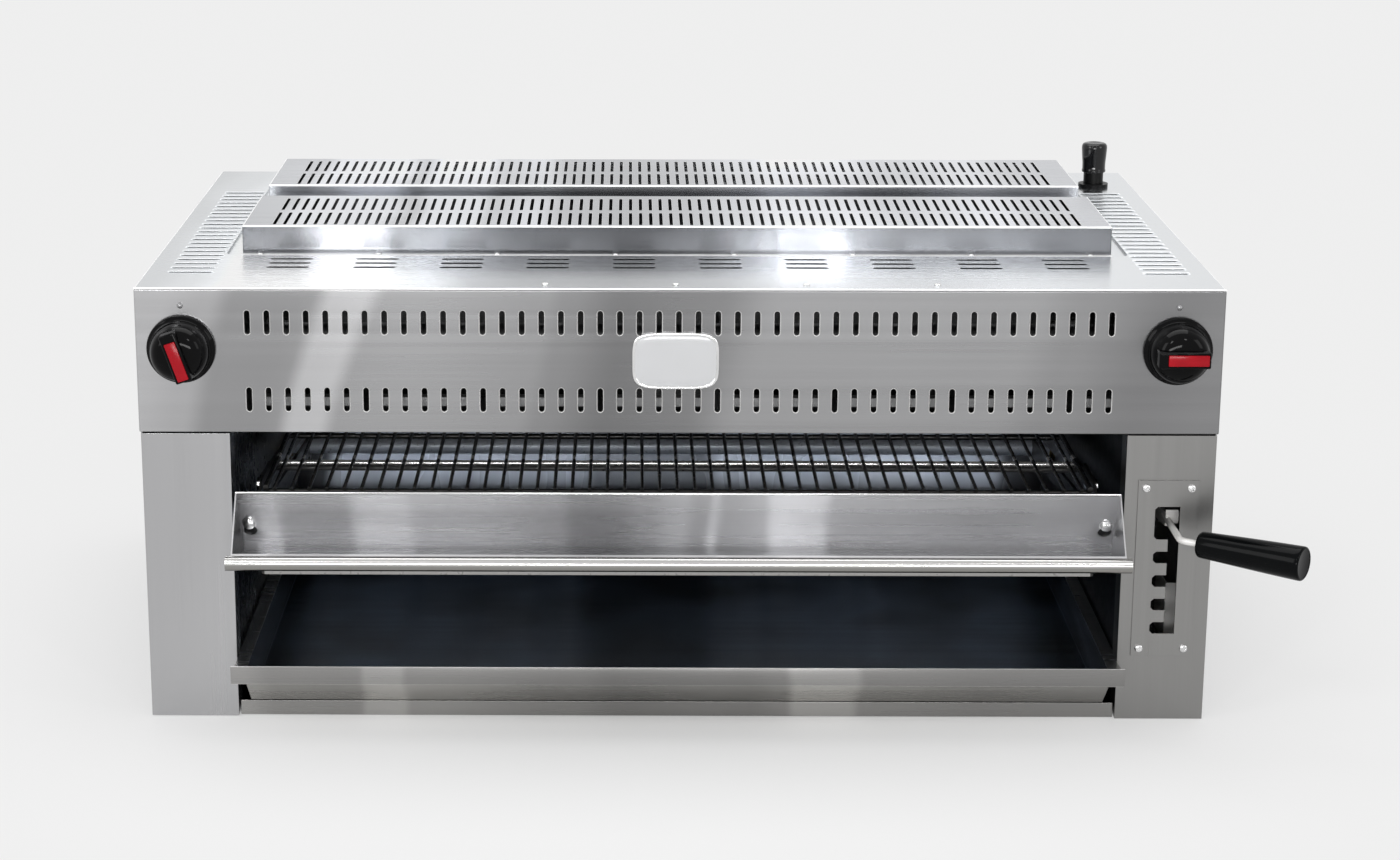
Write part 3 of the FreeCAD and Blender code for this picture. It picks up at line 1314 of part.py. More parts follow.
os.makedirs("parts", exist_ok=True)
for name, part in parts.items():
    shape = part.Shape
    if not shape.isValid() or not shape.Solids:
        raise RuntimeError(f"{name} is not a sound solid")
    shape.exportStep(f"parts/{name}.step")
    limits = shape.BoundBox
    print(f"{name}: {len(shape.Solids)} solids, volume {shape.Volume:.0f}, "
          f"X {limits.XMin:.1f} {limits.XMax:.1f} Y {limits.YMin:.1f} {limits.YMax:.1f} "
          f"Z {limits.ZMin:.1f} {limits.ZMax:.1f}")
print(f"{len(parts)} parts")
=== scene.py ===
import json
import math

import bmesh
import bpy
from mathutils import Matrix, Vector

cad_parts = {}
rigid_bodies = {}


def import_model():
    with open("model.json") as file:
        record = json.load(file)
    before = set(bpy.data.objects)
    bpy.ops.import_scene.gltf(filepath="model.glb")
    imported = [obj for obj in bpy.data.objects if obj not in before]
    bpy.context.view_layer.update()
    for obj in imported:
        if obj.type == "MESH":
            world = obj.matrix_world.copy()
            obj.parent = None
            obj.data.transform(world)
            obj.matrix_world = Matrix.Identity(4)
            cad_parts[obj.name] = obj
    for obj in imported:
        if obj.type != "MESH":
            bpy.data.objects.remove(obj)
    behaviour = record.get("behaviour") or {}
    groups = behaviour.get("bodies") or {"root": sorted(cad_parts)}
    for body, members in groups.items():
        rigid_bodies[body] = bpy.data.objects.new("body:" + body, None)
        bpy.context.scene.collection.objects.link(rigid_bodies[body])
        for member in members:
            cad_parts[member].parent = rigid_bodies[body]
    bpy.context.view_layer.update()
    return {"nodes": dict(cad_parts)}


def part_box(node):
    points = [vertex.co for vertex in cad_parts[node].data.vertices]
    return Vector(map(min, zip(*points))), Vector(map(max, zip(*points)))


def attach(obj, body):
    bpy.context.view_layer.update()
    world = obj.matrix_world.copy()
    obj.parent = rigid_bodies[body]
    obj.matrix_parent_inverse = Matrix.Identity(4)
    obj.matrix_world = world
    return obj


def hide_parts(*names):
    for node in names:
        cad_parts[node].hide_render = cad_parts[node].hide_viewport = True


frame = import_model()
scene = bpy.context.scene
mm = 0.001
quarter = math.pi / 2
print("frame loaded:", len(frame["nodes"]), "nodes")


# Small helpers for shader and geometry nodes

def add(tree, kind, sockets=None, **settings):
    # a new node; a socket's value is either a plain value or another node's output
    node = tree.nodes.new(kind)
    for key, value in settings.items():
        setattr(node, key, value)
    for key, value in (sockets or {}).items():
        if isinstance(value, bpy.types.NodeSocket):
            tree.links.new(value, node.inputs[key])
        else:
            node.inputs[key].default_value = value
    return node


def maths(tree, operation, *values):
    return add(tree, "ShaderNodeMath", dict(enumerate(values)), operation=operation).outputs[0]


def mix(tree, factor, first, second):
    # blends two colours
    return add(tree, "ShaderNodeMix", {0: factor, 6: first, 7: second}, data_type="RGBA").outputs[2]


def spread(tree, value, low, high, newLow, newHigh):
    # stretches a value's range onto another
    node = add(tree, "ShaderNodeMapRange", {
        "Value": value, "From Min": low, "From Max": high, "To Min": newLow, "To Max": newHigh})
    return node.outputs["Result"]


def grey(value, tint=(1, 1, 1)):
    return tuple(value * part for part in tint) + (1,)


# Materials: brushed sheet with painted sheen, plain metal, metal with a band of painted light, moulded goods

materials = {}
noiseSpan = (0.3, 0.7)  # nearly all of a noise texture's values lie between these
sheetLook = {
    "tone": 0.40, "tint": (0.985, 0.985, 1.0), "brightest": 0.96, "shine": 0.27,
    "grainDepth": 0.012, "grainShare": 0.03, "grainScale": 900,
    "bandScale": 3.2, "bandStretch": (1, 1, 0.25), "bandShare": 0.07,
    "sheen": None, "reach": 457, "slant": 0.0, "middle": 0.0,
}
metalLook = {"speckScale": 300, "cloudScale": 25, "speckShare": 0.12}


def begin(name):
    material = bpy.data.materials.new(name)
    material.use_nodes = True
    tree = material.node_tree
    shader = tree.nodes["Principled BSDF"]
    where = add(tree, "ShaderNodeTexCoord").outputs["Object"]
    materials[name] = material
    return tree, shader, where


def noise(tree, where, scale, detail=2.0, rough=0.5, stretch=(1, 1, 1)):
    moved = add(tree, "ShaderNodeMapping", {"Vector": where, "Scale": stretch}).outputs[0]
    return add(tree, "ShaderNodeTexNoise", {
        "Vector": moved, "Scale": scale, "Detail": detail, "Roughness": rough}).outputs["Fac"]


def roughen(tree, shader, grain, shine):
    # the shine wanders a little with the grain
    tree.links.new(spread(tree, grain, *noiseSpan, shine * 0.85, shine * 1.2), shader.inputs["Roughness"])


def emboss(tree, shader, height, strength):
    bump = add(tree, "ShaderNodeBump", {"Height": height, "Strength": strength, "Distance": 0.001})
    tree.links.new(bump.outputs[0], shader.inputs["Normal"])


def sheenAlong(tree, where, stops, reach, slant=0.0, middle=0.0):
    # painted sheen: soft broad bands of painted reflection along X, multiplied into the colour, leaning about
    # a middle height; stops are (millimetres, gain)
    strongest = 3.0
    apart = add(tree, "ShaderNodeSeparateXYZ", {"Vector": where})
    leaned = maths(tree, "MULTIPLY_ADD", apart.outputs["Z"], slant, apart.outputs["X"])
    centred = -slant * middle
    wander = spread(tree, noise(tree, where, 5, 1, 0.4), *noiseSpan, centred - 0.012, centred + 0.012)
    place = maths(tree, "ADD", leaned, wander)
    ramp = add(tree, "ShaderNodeValToRGB", {"Fac": spread(tree, place, -reach * mm, reach * mm, 0, 1)})
    ramp.color_ramp.interpolation = "EASE"
    marks = ramp.color_ramp.elements
    for mark, (x, gain) in ((marks[0], stops[0]), (marks[1], stops[-1])):
        mark.color = grey(gain / strongest)
    for x, gain in stops[1:-1]:
        marks.new((x + reach) / (2 * reach)).color = grey(gain / strongest)
    return maths(tree, "MULTIPLY", ramp.outputs["Color"], strongest)


def brushed(name, stretch, **changes):
    # brushed sheet: fine lines along one axis, soft bands of painted sheen across it, and listed bands of
    # painted reflection where a sheen is given
    look = {**sheetLook, **changes}
    tree, shader, where = begin(name)
    grain = noise(tree, where, look["grainScale"], 3, 0.6, stretch)
    broad = noise(tree, where, look["grainScale"] / 7, 2, 0.5, stretch)
    cloud = noise(tree, where, look["bandScale"], 1.5, 0.45, look["bandStretch"])
    low = look["tone"] * (1 - look["bandShare"])
    high = look["tone"] * (1 + look["bandShare"])
    base = mix(tree, spread(tree, cloud, 0.36, 0.64, 0, 1), grey(low, look["tint"]), grey(high, look["tint"]))
    lined = mix(tree, spread(tree, grain, *noiseSpan, 0, 1), grey(1 - look["grainShare"]), grey(1.0))
    colour = add(tree, "ShaderNodeVectorMath", {0: base, 1: lined}, operation="MULTIPLY").outputs[0]
    if look["sheen"]:
        gain = sheenAlong(tree, where, look["sheen"], look["reach"], look["slant"], look["middle"])
        colour = add(tree, "ShaderNodeVectorMath", {0: colour, "Scale": gain}, operation="SCALE").outputs[0]
        limit = (look["brightest"],) * 3
        colour = add(tree, "ShaderNodeVectorMath", {0: colour, 1: limit}, operation="MINIMUM").outputs[0]
    tree.links.new(colour, shader.inputs["Base Color"])
    rub = maths(tree, "ADD", spread(tree, broad, *noiseSpan, -0.03, 0.03),
                spread(tree, cloud, *noiseSpan, -0.03, 0.04))
    tree.links.new(maths(tree, "ADD", rub, look["shine"]), shader.inputs["Roughness"])
    emboss(tree, shader, grain, look["grainDepth"])
    shader.inputs["Metallic"].default_value = 1.0


def metal(name, tone, tint, shine, depth=0.03, metallic=1.0):
    # plain or plated metal with faint mottling
    tree, shader, where = begin(name)
    speck = noise(tree, where, metalLook["speckScale"], 3, 0.6)
    cloud = noise(tree, where, metalLook["cloudScale"], 2, 0.5)
    low, high = tone * (1 - metalLook["speckShare"]), tone * (1 + metalLook["speckShare"])
    colour = mix(tree, spread(tree, cloud, *noiseSpan, 0, 1), grey(low, tint), grey(high, tint))
    tree.links.new(colour, shader.inputs["Base Color"])
    roughen(tree, shader, speck, shine)
    emboss(tree, shader, speck, depth)
    shader.inputs["Metallic"].default_value = metallic


def moulded(name, colour, shine, depth=0.02, grainScale=500, gloss=0.5, lift=1.25):
    # moulded plastic, rubber, enamel or ceramic
    tree, shader, where = begin(name)
    grain = noise(tree, where, grainScale, 3, 0.6)
    cloud = noise(tree, where, grainScale / 14, 2, 0.5)
    brighter = tuple(min(1.0, part * lift) for part in colour)
    tint = mix(tree, spread(tree, cloud, 0.35, 0.65, 0, 1), colour + (1,), brighter + (1,))
    tree.links.new(tint, shader.inputs["Base Color"])
    roughen(tree, shader, grain, shine)
    emboss(tree, shader, grain, depth)
    shader.inputs["Specular IOR Level"].default_value = gloss


def banded(name, tones, tints, shine, low, high, axis="Z", soft=0.0004, metallic=1.0):
    # metal with another tone between two levels, both in metres on the part; used for bands of painted light
    # and shade
    tree, shader, where = begin(name)
    level = add(tree, "ShaderNodeSeparateXYZ", {"Vector": where}).outputs[axis]
    over = spread(tree, level, low - soft, low + soft, 0, 1)
    under = spread(tree, level, high - soft, high + soft, 1, 0)
    inside = maths(tree, "MULTIPLY", over, under)
    colour = mix(tree, inside, grey(tones[0], tints[0]), grey(tones[1], tints[1]))
    tree.links.new(colour, shader.inputs["Base Color"])
    roughen(tree, shader, noise(tree, where, metalLook["speckScale"], 3, 0.6), shine)
    shader.inputs["Metallic"].default_value = metallic


alongX, alongY, alongZ = (0.006, 1, 1), (1, 0.006, 1), (1, 1, 0.006)
# the sheen stops below are painted reflections of the studio lights, set as bands along X
brushed("sheet along x", alongX)
brushed("hood sheet", alongX, tone=0.325, slant=-0.28, middle=0.305, sheen=(
    (-457, 1.65), (-410, 1.45), (-385, 1.05), (-336, 1.0), (-324, 1.02), (-306, 1.65), (-284, 1.65),
    (-266, 1.1), (-125, 1.0), (-104, 0.86), (-50, 0.6), (20, 0.62), (75, 0.86), (200, 0.93), (270, 0.94),
    (330, 0.78), (400, 0.62), (457, 0.7)))
brushed("sheet along y", alongY)
# painted light and shade: the left column is set lighter and the right one, with its notched plate, darker,
# as the light falls from the left
brushed("left column sheet", alongZ, tone=0.50)
brushed("right column sheet", alongZ, tone=0.255, tint=(1.0, 0.99, 0.97))
# painted light: the ledge's slope is set light to stand for light reflected up from the trough below
brushed("ledge sheet", alongX, tone=0.66, reach=380, sheen=(
    (-380, 1.12), (-342, 1.1), (-332, 0.88), (-275, 0.87), (-264, 1.06), (-226, 1.04), (-214, 0.94),
    (-150, 0.92), (-100, 0.87), (-88, 0.76), (-60, 0.75), (-30, 0.82), (5, 0.92), (22, 0.82), (30, 0.83),
    (38, 1.02), (47, 0.84), (85, 0.92), (95, 1.12), (135, 1.1), (143, 0.92), (202, 0.89), (311, 0.85),
    (380, 0.83)))
lowerSheen = (
    (-380, 1.5), (-350, 1.2), (-275, 1.15), (-267, 1.55), (-236, 1.55), (-228, 1.2), (-100, 1.05), (-60, 0.9),
    (60, 0.9), (92, 1.05), (101, 1.5), (146, 1.5), (156, 1.1), (380, 1.0))
brushed("base sheet", alongX, tone=0.25, tint=(1.0, 0.985, 0.96), reach=380, sheen=lowerSheen)
brushed("tray outside", alongX, tone=0.24, tint=(1.0, 0.985, 0.965), reach=380, sheen=lowerSheen)
# painted light: a lighter copy of the tray's outside for its downward faces
brushed("tray under", alongX, tone=0.55, tint=(1.0, 0.985, 0.95), reach=380, sheen=lowerSheen)
brushed("top sheet", alongX, tone=0.68, shine=0.24, grainDepth=0.0, tint=(0.95, 0.975, 1.0),
        bandStretch=(1, 0.25, 1), sheen=(
            (-457, 1.0), (-420, 1.15), (-380, 1.45), (-230, 1.4), (-170, 0.78), (-40, 0.74), (40, 0.92),
            (85, 1.1), (150, 1.1), (205, 1.08), (300, 1.35), (457, 1.35)))
brushed("vent sheet", alongX, tone=0.33, shine=0.22, grainDepth=0.0, tint=(0.94, 0.965, 1.03), reach=384,
        sheen=(
            (-384, 0.7), (-335, 0.58), (-302, 1.5), (-264, 1.5), (-246, 0.74), (-200, 0.72), (-120, 0.3),
            (-40, 0.21), (20, 0.33), (60, 0.6), (86, 0.9), (95, 1.35), (141, 1.35), (158, 0.8), (200, 0.55),
            (320, 0.52), (384, 0.5)))
# painted light: a lighter copy of the vent sheet for the box tops and the rear box's front face
brushed("vent cover", alongX, tone=0.74, shine=0.24, grainDepth=0.0, tint=(0.95, 0.97, 1.02), reach=384,
        bandShare=0.12, sheen=(
            (-384, 0.8), (-355, 0.85), (-335, 1.3), (-270, 1.3), (-245, 0.85), (-225, 1.3), (-180, 1.3),
            (-160, 0.9), (-120, 1.1), (-90, 0.7), (-40, 0.62), (0, 0.7), (60, 0.95), (100, 1.25), (160, 1.2),
            (200, 0.95), (280, 1.15), (330, 0.85), (384, 0.8)))
brushed("louvre sheet", alongX, tone=0.8, shine=0.5, tint=(0.96, 0.98, 1.0), grainDepth=0.0)
# painted shade: dark bluish stainless for the tray's inside
brushed("tray sheet", alongX, tone=0.10, shine=0.2, tint=(0.68, 0.88, 1.2), bandScale=9, bandShare=0.5)
# painted shade: near-black stainless for the cavity's inner walls, the slit walls and the vent box insides
brushed("inner sheet", alongX, tone=0.016, shine=0.3, tint=(0.9, 0.97, 1.08))

# dark steel for the dark steel parts, also used as painted shade on the ledge's left end plate
metal("dark steel", 0.045, (1.0, 0.99, 0.98), 0.38)
metal("bright steel", 0.78, (1.0, 1.0, 1.0), 0.16, depth=0.01)
metal("plated rod", 0.85, (1.0, 0.985, 0.96), 0.42, depth=0.01, metallic=0.35)
# painted highlight: near-white for bends, flanges, the tray's lip and the top's front hem
metal("bright edge", 0.97, (1.0, 1.0, 1.0), 0.35, depth=0.0, metallic=0.3)
# painted highlight: a lighter, less metallic copy for the hood's slot lips
metal("slot lip", 0.5, (1.0, 0.995, 0.98), 0.4, depth=0.0, metallic=0.3)
metal("shaft steel", 0.85, (0.9, 0.96, 1.06), 0.3, depth=0.01, metallic=0.25)
metal("stud steel", 0.3, (1.0, 1.0, 1.02), 0.3, metallic=0.6)
metal("brass", 0.66, (1.0, 0.78, 0.42), 0.22)
metal("gas tube", 0.3, (1.0, 1.0, 1.03), 0.42)
metal("black iron", 0.02, (1.0, 1.0, 1.0), 0.4)

railLow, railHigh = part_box("ledge_rail")
railHighlightFrom = railLow[2] + 0.52 * (railHigh[2] - railLow[2])
# painted light and shade: the rail is lighter above its shoulder, where light from above falls, darker below
banded("rail steel", (0.30, 0.56), ((1.0, 0.98, 0.93), (1.0, 0.99, 0.97)), 0.2, railHighlightFrom, 1.0,
       soft=0.0012)
# painted light: the deck is dark, with a band of painted light on its apron where the lower slots show it lit
banded("deck steel", (0.02, 1.0), ((1, 1, 1), (0.99, 0.99, 1.0)), 0.34, 0.2719, 0.2793, metallic=0.2)
# painted light and shade: the chrome wires are painted dark as shade in the cavity, with a band of painted
# light near their front ends
banded("rack chrome", (0.03, 0.8), ((1.0, 0.98, 0.96), (1.0, 0.99, 0.98)), 0.24, -0.180, -0.168, "Y",
       metallic=0.8)
# painted light: the carriage bars are dark, with a band of painted light on their front part
banded("bar steel", (0.045, 0.34), ((1, 1, 1), (1.0, 0.985, 0.96)), 0.3, -0.5, -0.25, "Y", metallic=0.5)

moulded("black plastic", (0.002, 0.002, 0.0022), 0.07, depth=0.003, gloss=0.09)
moulded("grip plastic", (0.0022, 0.0025, 0.0028), 0.12, depth=0.004, gloss=0.06)
moulded("cap plastic", (0.003, 0.003, 0.0035), 0.10, depth=0.004, gloss=0.4)
moulded("black rubber", (0.005, 0.005, 0.0055), 0.34, gloss=0.15)
moulded("red plastic", (0.30, 0.002, 0.008), 0.2, gloss=0.2)
moulded("enamel", (0.52, 0.525, 0.535), 0.14, lift=1.02)
moulded("ceramic", (0.72, 0.66, 0.56), 0.75, depth=0.3, grainScale=900, lift=1.1)

wallLook = {
    "dark": (0.012, 0.013, 0.016, 1), "lit": (0.80, 0.86, 0.96, 1), "litFrom": 0.045, "litTo": 0.085,
    "panels": ((-382, 0.05), (-352, 0.1), (-336, 1.0), (-90, 0.8), (-62, 0.25), (45, 0.22), (66, 0.85),
               (200, 1.0), (325, 0.9), (345, 0.1), (382, 0.05)), "reach": 384,
}


def backWall():
    # the cavity's back wall: bluish panels of painted light, with painted shade between them, at the sides
    # and darker downwards
    tree, shader, where = begin("back wall")
    panels = sheenAlong(tree, where, wallLook["panels"], wallLook["reach"])
    height = add(tree, "ShaderNodeSeparateXYZ", {"Vector": where}).outputs["Z"]
    upper = spread(tree, height, wallLook["litFrom"], wallLook["litTo"], 0.1, 1.0)
    share = maths(tree, "MULTIPLY", panels, upper)
    tree.links.new(mix(tree, share, wallLook["dark"], wallLook["lit"]), shader.inputs["Base Color"])
    cloud = noise(tree, where, 20, 2, 0.5, (1, 1, 0.2))
    tree.links.new(spread(tree, cloud, *noiseSpan, 0.2, 0.34), shader.inputs["Roughness"])
    shader.inputs["Metallic"].default_value = 0.25


backWall()
print("materials ready")

finishes = {
    "sheet along x": ["rear_panel"],
    "hood sheet": ["hood_front"],
    "back wall": ["inner_back"],
    "base sheet": ["base_pan"],
    "ledge sheet": ["ledge_trough"],
    "vent sheet": ["vent_box_front", "vent_box_rear"],
    "top sheet": ["top_panel", "vent_well"],
    "sheet along y": ["side_panel_left", "side_panel_right"],
    "left column sheet": ["front_column_left"],
    "right column sheet": ["front_column_right", "notched_plate"],
    "deck steel": ["burner_deck"],
    "rail steel": ["ledge_rail"],
    "tray sheet": ["drip_tray"],
    "inner sheet": ["inner_wall_left", "inner_wall_right"],
    "plated rod": ["lever_arm", "lever_guide"],
    "shaft steel": ["torque_shaft"],
    "dark steel": ["burner_left", "burner_right", "lever_yoke", "lift_arm_left", "lift_arm_right",
                   "steady_arm_left", "steady_arm_right", "carriage_side_left", "carriage_side_right",
                   "tray_runners"],
    "bar steel": ["carriage_bars"],
    "rack chrome": ["wire_rack"],
    "bright steel": ["plate_screws", "ledge_studs", "carriage_pins", "steady_pins", "lever_hinge_pin",
                     "pipe_union"],
    "stud steel": ["index_studs"],
    "brass": ["gas_valve_left", "gas_valve_right", "valve_stem_left", "valve_stem_right", "gas_jets",
              "shaft_bushes"],
    "gas tube": ["gas_manifold", "supply_tubes"],
    "black iron": ["gas_inlet_pipe"],
    "black plastic": ["knob_left", "knob_right", "lever_grip", "rail_caps"],
    "black rubber": ["inlet_collar", "inlet_cap"],
    "red plastic": ["knob_insert_left", "knob_insert_right"],
    "enamel": ["name_plate_blank"],
    "ceramic": ["burner_tiles"],
}
finishOf = {node: finish for finish, nodes in finishes.items() for node in nodes}
for node, finish in finishOf.items():
    solid = frame["nodes"][node]
    solid.data.materials.clear()
    solid.data.materials.append(materials[finish])
print("frame nodes painted")


# Mesh helpers; sizes and places are millimetres, in the dictionaries too

def made(name, bm):
    # a new object from finished mesh code
    mesh = bpy.data.meshes.new(name)
    bm.to_mesh(mesh)
    bm.free()
    piece = bpy.data.objects.new(name, mesh)
    scene.collection.objects.link(piece)
    return piece


def settled(piece):
    # turns modifiers into a plain mesh
    bpy.context.view_layer.update()
    graph = bpy.context.evaluated_depsgraph_get()
    mesh = bpy.data.meshes.new_from_object(piece.evaluated_get(graph))
    old = piece.data
    piece.modifiers.clear()
    piece.data = mesh
    bpy.data.meshes.remove(old)
    return piece


def rounded(piece, width, segments=2, angle=35):
    bevel = piece.modifiers.new("Soft edges", "BEVEL")
    bevel.width = width * mm
    bevel.segments = segments
    bevel.limit_method = "ANGLE"
    bevel.angle_limit = math.radians(angle)
    bevel.use_clamp_overlap = True
    return settled(piece)


def smooth(piece, angle=30):
    piece.data.shade_smooth()
    piece.data.set_sharp_from_angle(angle=math.radians(angle))
    return piece


def evenly(piece, angle=50):
    # soft edges between flat faces that stay flat
    smooth(piece, angle)
    weigh = piece.modifiers.new("Even shading", "WEIGHTED_NORMAL")
    weigh.mode = "FACE_AREA"
    weigh.weight = 100
    weigh.keep_sharp = True
    return settled(piece)


def paint(piece, *finish):
    piece.data.materials.clear()
    for name in finish:
        piece.data.materials.append(materials[name])
    return piece


def seat(piece, body, slotName, *nodes):
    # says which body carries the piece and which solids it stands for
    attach(piece, body)
    if nodes:
        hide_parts(*nodes)


def placed(piece, matrix):
    piece.data.transform(matrix)
    return piece


def shift(x, y, z):
    return Matrix.Translation(Vector((x, y, z)) * mm)


def facing(direction):
    # turns a shape's Z axis to a direction
    return direction.to_track_quat("Z", "Y").to_matrix().to_4x4()


def drop(*scratch):
    for piece in scratch:
        bpy.data.objects.remove(piece)


def joined(piece, *others):
    # puts other meshes into one, as they stand
    bm = bmesh.new()
    bm.from_mesh(piece.data)
    for other in others:
        bm.from_mesh(other.data)
    drop(*others)
    bm.to_mesh(piece.data)
    bm.free()
    return piece


def copyOf(piece, name):
    copy = made(name, bmesh.new())
    copy.data = piece.data.copy()
    return copy


def box(bm, low, high):
    corners = [Vector((x, y, z)) * mm for x in (low[0], high[0]) for y in (low[1], high[1])
               for z in (low[2], high[2])]
    verts = [bm.verts.new(corner) for corner in corners]
    for ring in ((0, 1, 3, 2), (4, 6, 7, 5), (0, 4, 5, 1), (2, 3, 7, 6), (0, 2, 6, 4), (1, 5, 7, 3)):
        bm.faces.new([verts[i] for i in ring])


def boxes(name, *spans):
    # closed boxes, each given by its low and high corner
    bm = bmesh.new()
    for low, high in spans:
        box(bm, low, high)
    bmesh.ops.recalc_face_normals(bm, faces=bm.faces)
    return made(name, bm)


def stitched(name, rings):
    # a closed skin through rings of points, capped at both ends
    bm = bmesh.new()
    loops = [[bm.verts.new((x * mm, y * mm, z * mm)) for x, y, z in ring] for ring in rings]
    count = len(rings[0])
    for first, second in zip(loops, loops[1:]):
        for k in range(count):
            j = (k + 1) % count
            bm.faces.new((first[k], first[j], second[j], second[k]))
    bm.faces.new(loops[-1])
    bm.faces.new(list(reversed(loops[0])))
    bmesh.ops.recalc_face_normals(bm, faces=bm.faces)
    return made(name, bm)


def lathe(name, profile, steps=48):
    # turns a profile of (radius, height) about Z; ends on the axis are closed
    bm = bmesh.new()
    rings = []
    for radius, height in profile:
        if radius < 1e-6:
            rings.append([bm.verts.new((0, 0, height * mm))])
        else:
            rings.append([bm.verts.new((radius * mm * math.cos(a), radius * mm * math.sin(a), height * mm))
                          for a in (2 * math.pi * k / steps for k in range(steps))])
    for lower, upper in zip(rings, rings[1:]):
        for k in range(steps):
            j = (k + 1) % steps
            if len(lower) == 1:
                bm.faces.new((lower[0], upper[j], upper[k]))
            elif len(upper) == 1:
                bm.faces.new((lower[k], lower[j], upper[0]))
            else:
                bm.faces.new((lower[k], lower[j], upper[j], upper[k]))
    bmesh.ops.recalc_face_normals(bm, faces=bm.faces)
    return made(name, bm)


def pan(name, low, high, openSides, radius, thick):
    # a folded sheet: a box without some of its sides, bent edges rounded, walls inwards
    bm = bmesh.new()
    box(bm, low, high)
    bmesh.ops.recalc_face_normals(bm, faces=bm.faces)
    gone = [face for face in bm.faces for side in openSides if face.normal.dot(Vector(side)) > 0.9]
    bmesh.ops.delete(bm, geom=gone, context="FACES")
    bends = [edge for edge in bm.edges if len(edge.link_faces) == 2]
    bmesh.ops.bevel(bm, geom=bends, offset=radius * mm, segments=3, affect="EDGES", profile=0.5)
    piece = made(name, bm)
    wall = piece.modifiers.new("Sheet", "SOLIDIFY")
    wall.thickness = thick * mm
    wall.offset = -1
    wall.use_even_offset = True
    return settled(piece)


def mergedCopy(node, name):
    # a frame node's own solid as clean faces, ready to be bevelled
    bm = bmesh.new()
    bm.from_mesh(frame["nodes"][node].data)
    bmesh.ops.remove_doubles(bm, verts=bm.verts, dist=2e-6)
    bmesh.ops.dissolve_limit(bm, angle_limit=math.radians(1), verts=bm.verts, edges=bm.edges)
    return made(name, bm)


# What repeats: one tree that sets copies of a shape out in columns and rows

def copiesTree():
    tree = bpy.data.node_groups.new("Rows Of Copies", "GeometryNodeTree")
    sockets = (("Shape", "Object", None), ("Columns", "Int", 1), ("Rows", "Int", 1),
               ("Column Step", "Float", 0.01), ("Row Step", "Float", 0.01), ("Centre", "Vector", (0, 0, 0)),
               ("Turn", "Rotation", (0, 0, 0)), ("Finish", "Material", None))
    tree.interface.new_socket("Geometry", in_out="INPUT", socket_type="NodeSocketGeometry")
    for name, kind, value in sockets:
        socket = tree.interface.new_socket(name, in_out="INPUT", socket_type="NodeSocket" + kind)
        if value is not None:
            socket.default_value = value
    tree.interface.new_socket("Geometry", in_out="OUTPUT", socket_type="NodeSocketGeometry")
    given = add(tree, "NodeGroupInput").outputs

    def reach(count, step):
        return maths(tree, "MULTIPLY", maths(tree, "SUBTRACT", given[count], 1.0), given[step])

    grid = add(tree, "GeometryNodeMeshGrid", {
        "Size X": reach("Columns", "Column Step"), "Size Y": reach("Rows", "Row Step"),
        "Vertices X": given["Columns"], "Vertices Y": given["Rows"]})
    points = add(tree, "GeometryNodeMeshToPoints", {"Mesh": grid.outputs["Mesh"]})
    shape = add(tree, "GeometryNodeObjectInfo", {"Object": given["Shape"]})
    copies = add(tree, "GeometryNodeInstanceOnPoints", {
        "Points": points.outputs[0], "Instance": shape.outputs["Geometry"]})
    solid = add(tree, "GeometryNodeRealizeInstances", {"Geometry": copies.outputs[0]})
    moved = add(tree, "GeometryNodeTransform", {
        "Geometry": solid.outputs[0], "Translation": given["Centre"], "Rotation": given["Turn"]})
    coloured = add(tree, "GeometryNodeSetMaterial", {
        "Geometry": moved.outputs[0], "Material": given["Finish"]})
    add(tree, "NodeGroupOutput", {0: coloured.outputs[0]})
    return tree


rowsTree = copiesTree()


def rows(name, shape, finish, columns, rowCount, columnStep, rowStep, centre, turn=(0, 0, 0)):
    piece = made(name, bmesh.new())
    modifier = piece.modifiers.new("Rows", "NODES")
    modifier.node_group = rowsTree
    values = {"Shape": shape, "Columns": columns, "Rows": rowCount, "Column Step": columnStep * mm,
              "Row Step": rowStep * mm, "Centre": tuple(value * mm for value in centre), "Turn": turn,
              "Finish": materials[finish]}
    for item in rowsTree.interface.items_tree:
        if item.in_out == "INPUT" and item.name in values:
            modifier[item.identifier] = values[item.name]
    return settled(piece)


def slotCutter(name, length, width, lip, depth, steps=6):
    # an obround punch along Y with a flared mouth, so that each slot gets a soft lip
    half = (length - width) / 2
    angles = [(math.pi * k / steps + turn, end) for turn, end in ((0, 1), (math.pi, -1))
              for k in range(steps + 1)]
    rings = []
    for grow, height in ((lip, 1.0), (lip, 0.0), (lip * 0.3, -lip * 0.3), (0, -lip), (0, -depth)):
        radius = width / 2 + grow
        rings.append([(radius * math.cos(angle), radius * math.sin(angle) + end * half, height)
                      for angle, end in angles])
    return stitched(name, rings)


def punch(piece, *cutters):
    for cutter in cutters:
        cut = piece.modifiers.new("Punch", "BOOLEAN")
        cut.operation = "DIFFERENCE"
        cut.solver = "EXACT"
        cut.object = cutter
    settled(piece)
    drop(*cutters)
    return piece


# Hood front with its two rows of slots

frontTurn = (quarter, 0, 0)
hood = {
    "halfWidth": 457, "bottom": 255, "top": 378.8, "front": -280, "back": -256, "bend": 1.2, "sheet": 1.2,
    "slots": 45, "slotStep": 16.48, "slotLength": 20.6, "slotWidth": 4.6, "lip": 0.75, "punchDepth": 4,
    "rows": (350.5, 283.8), "lipZone": 1.2, "slotReach": 400,
}


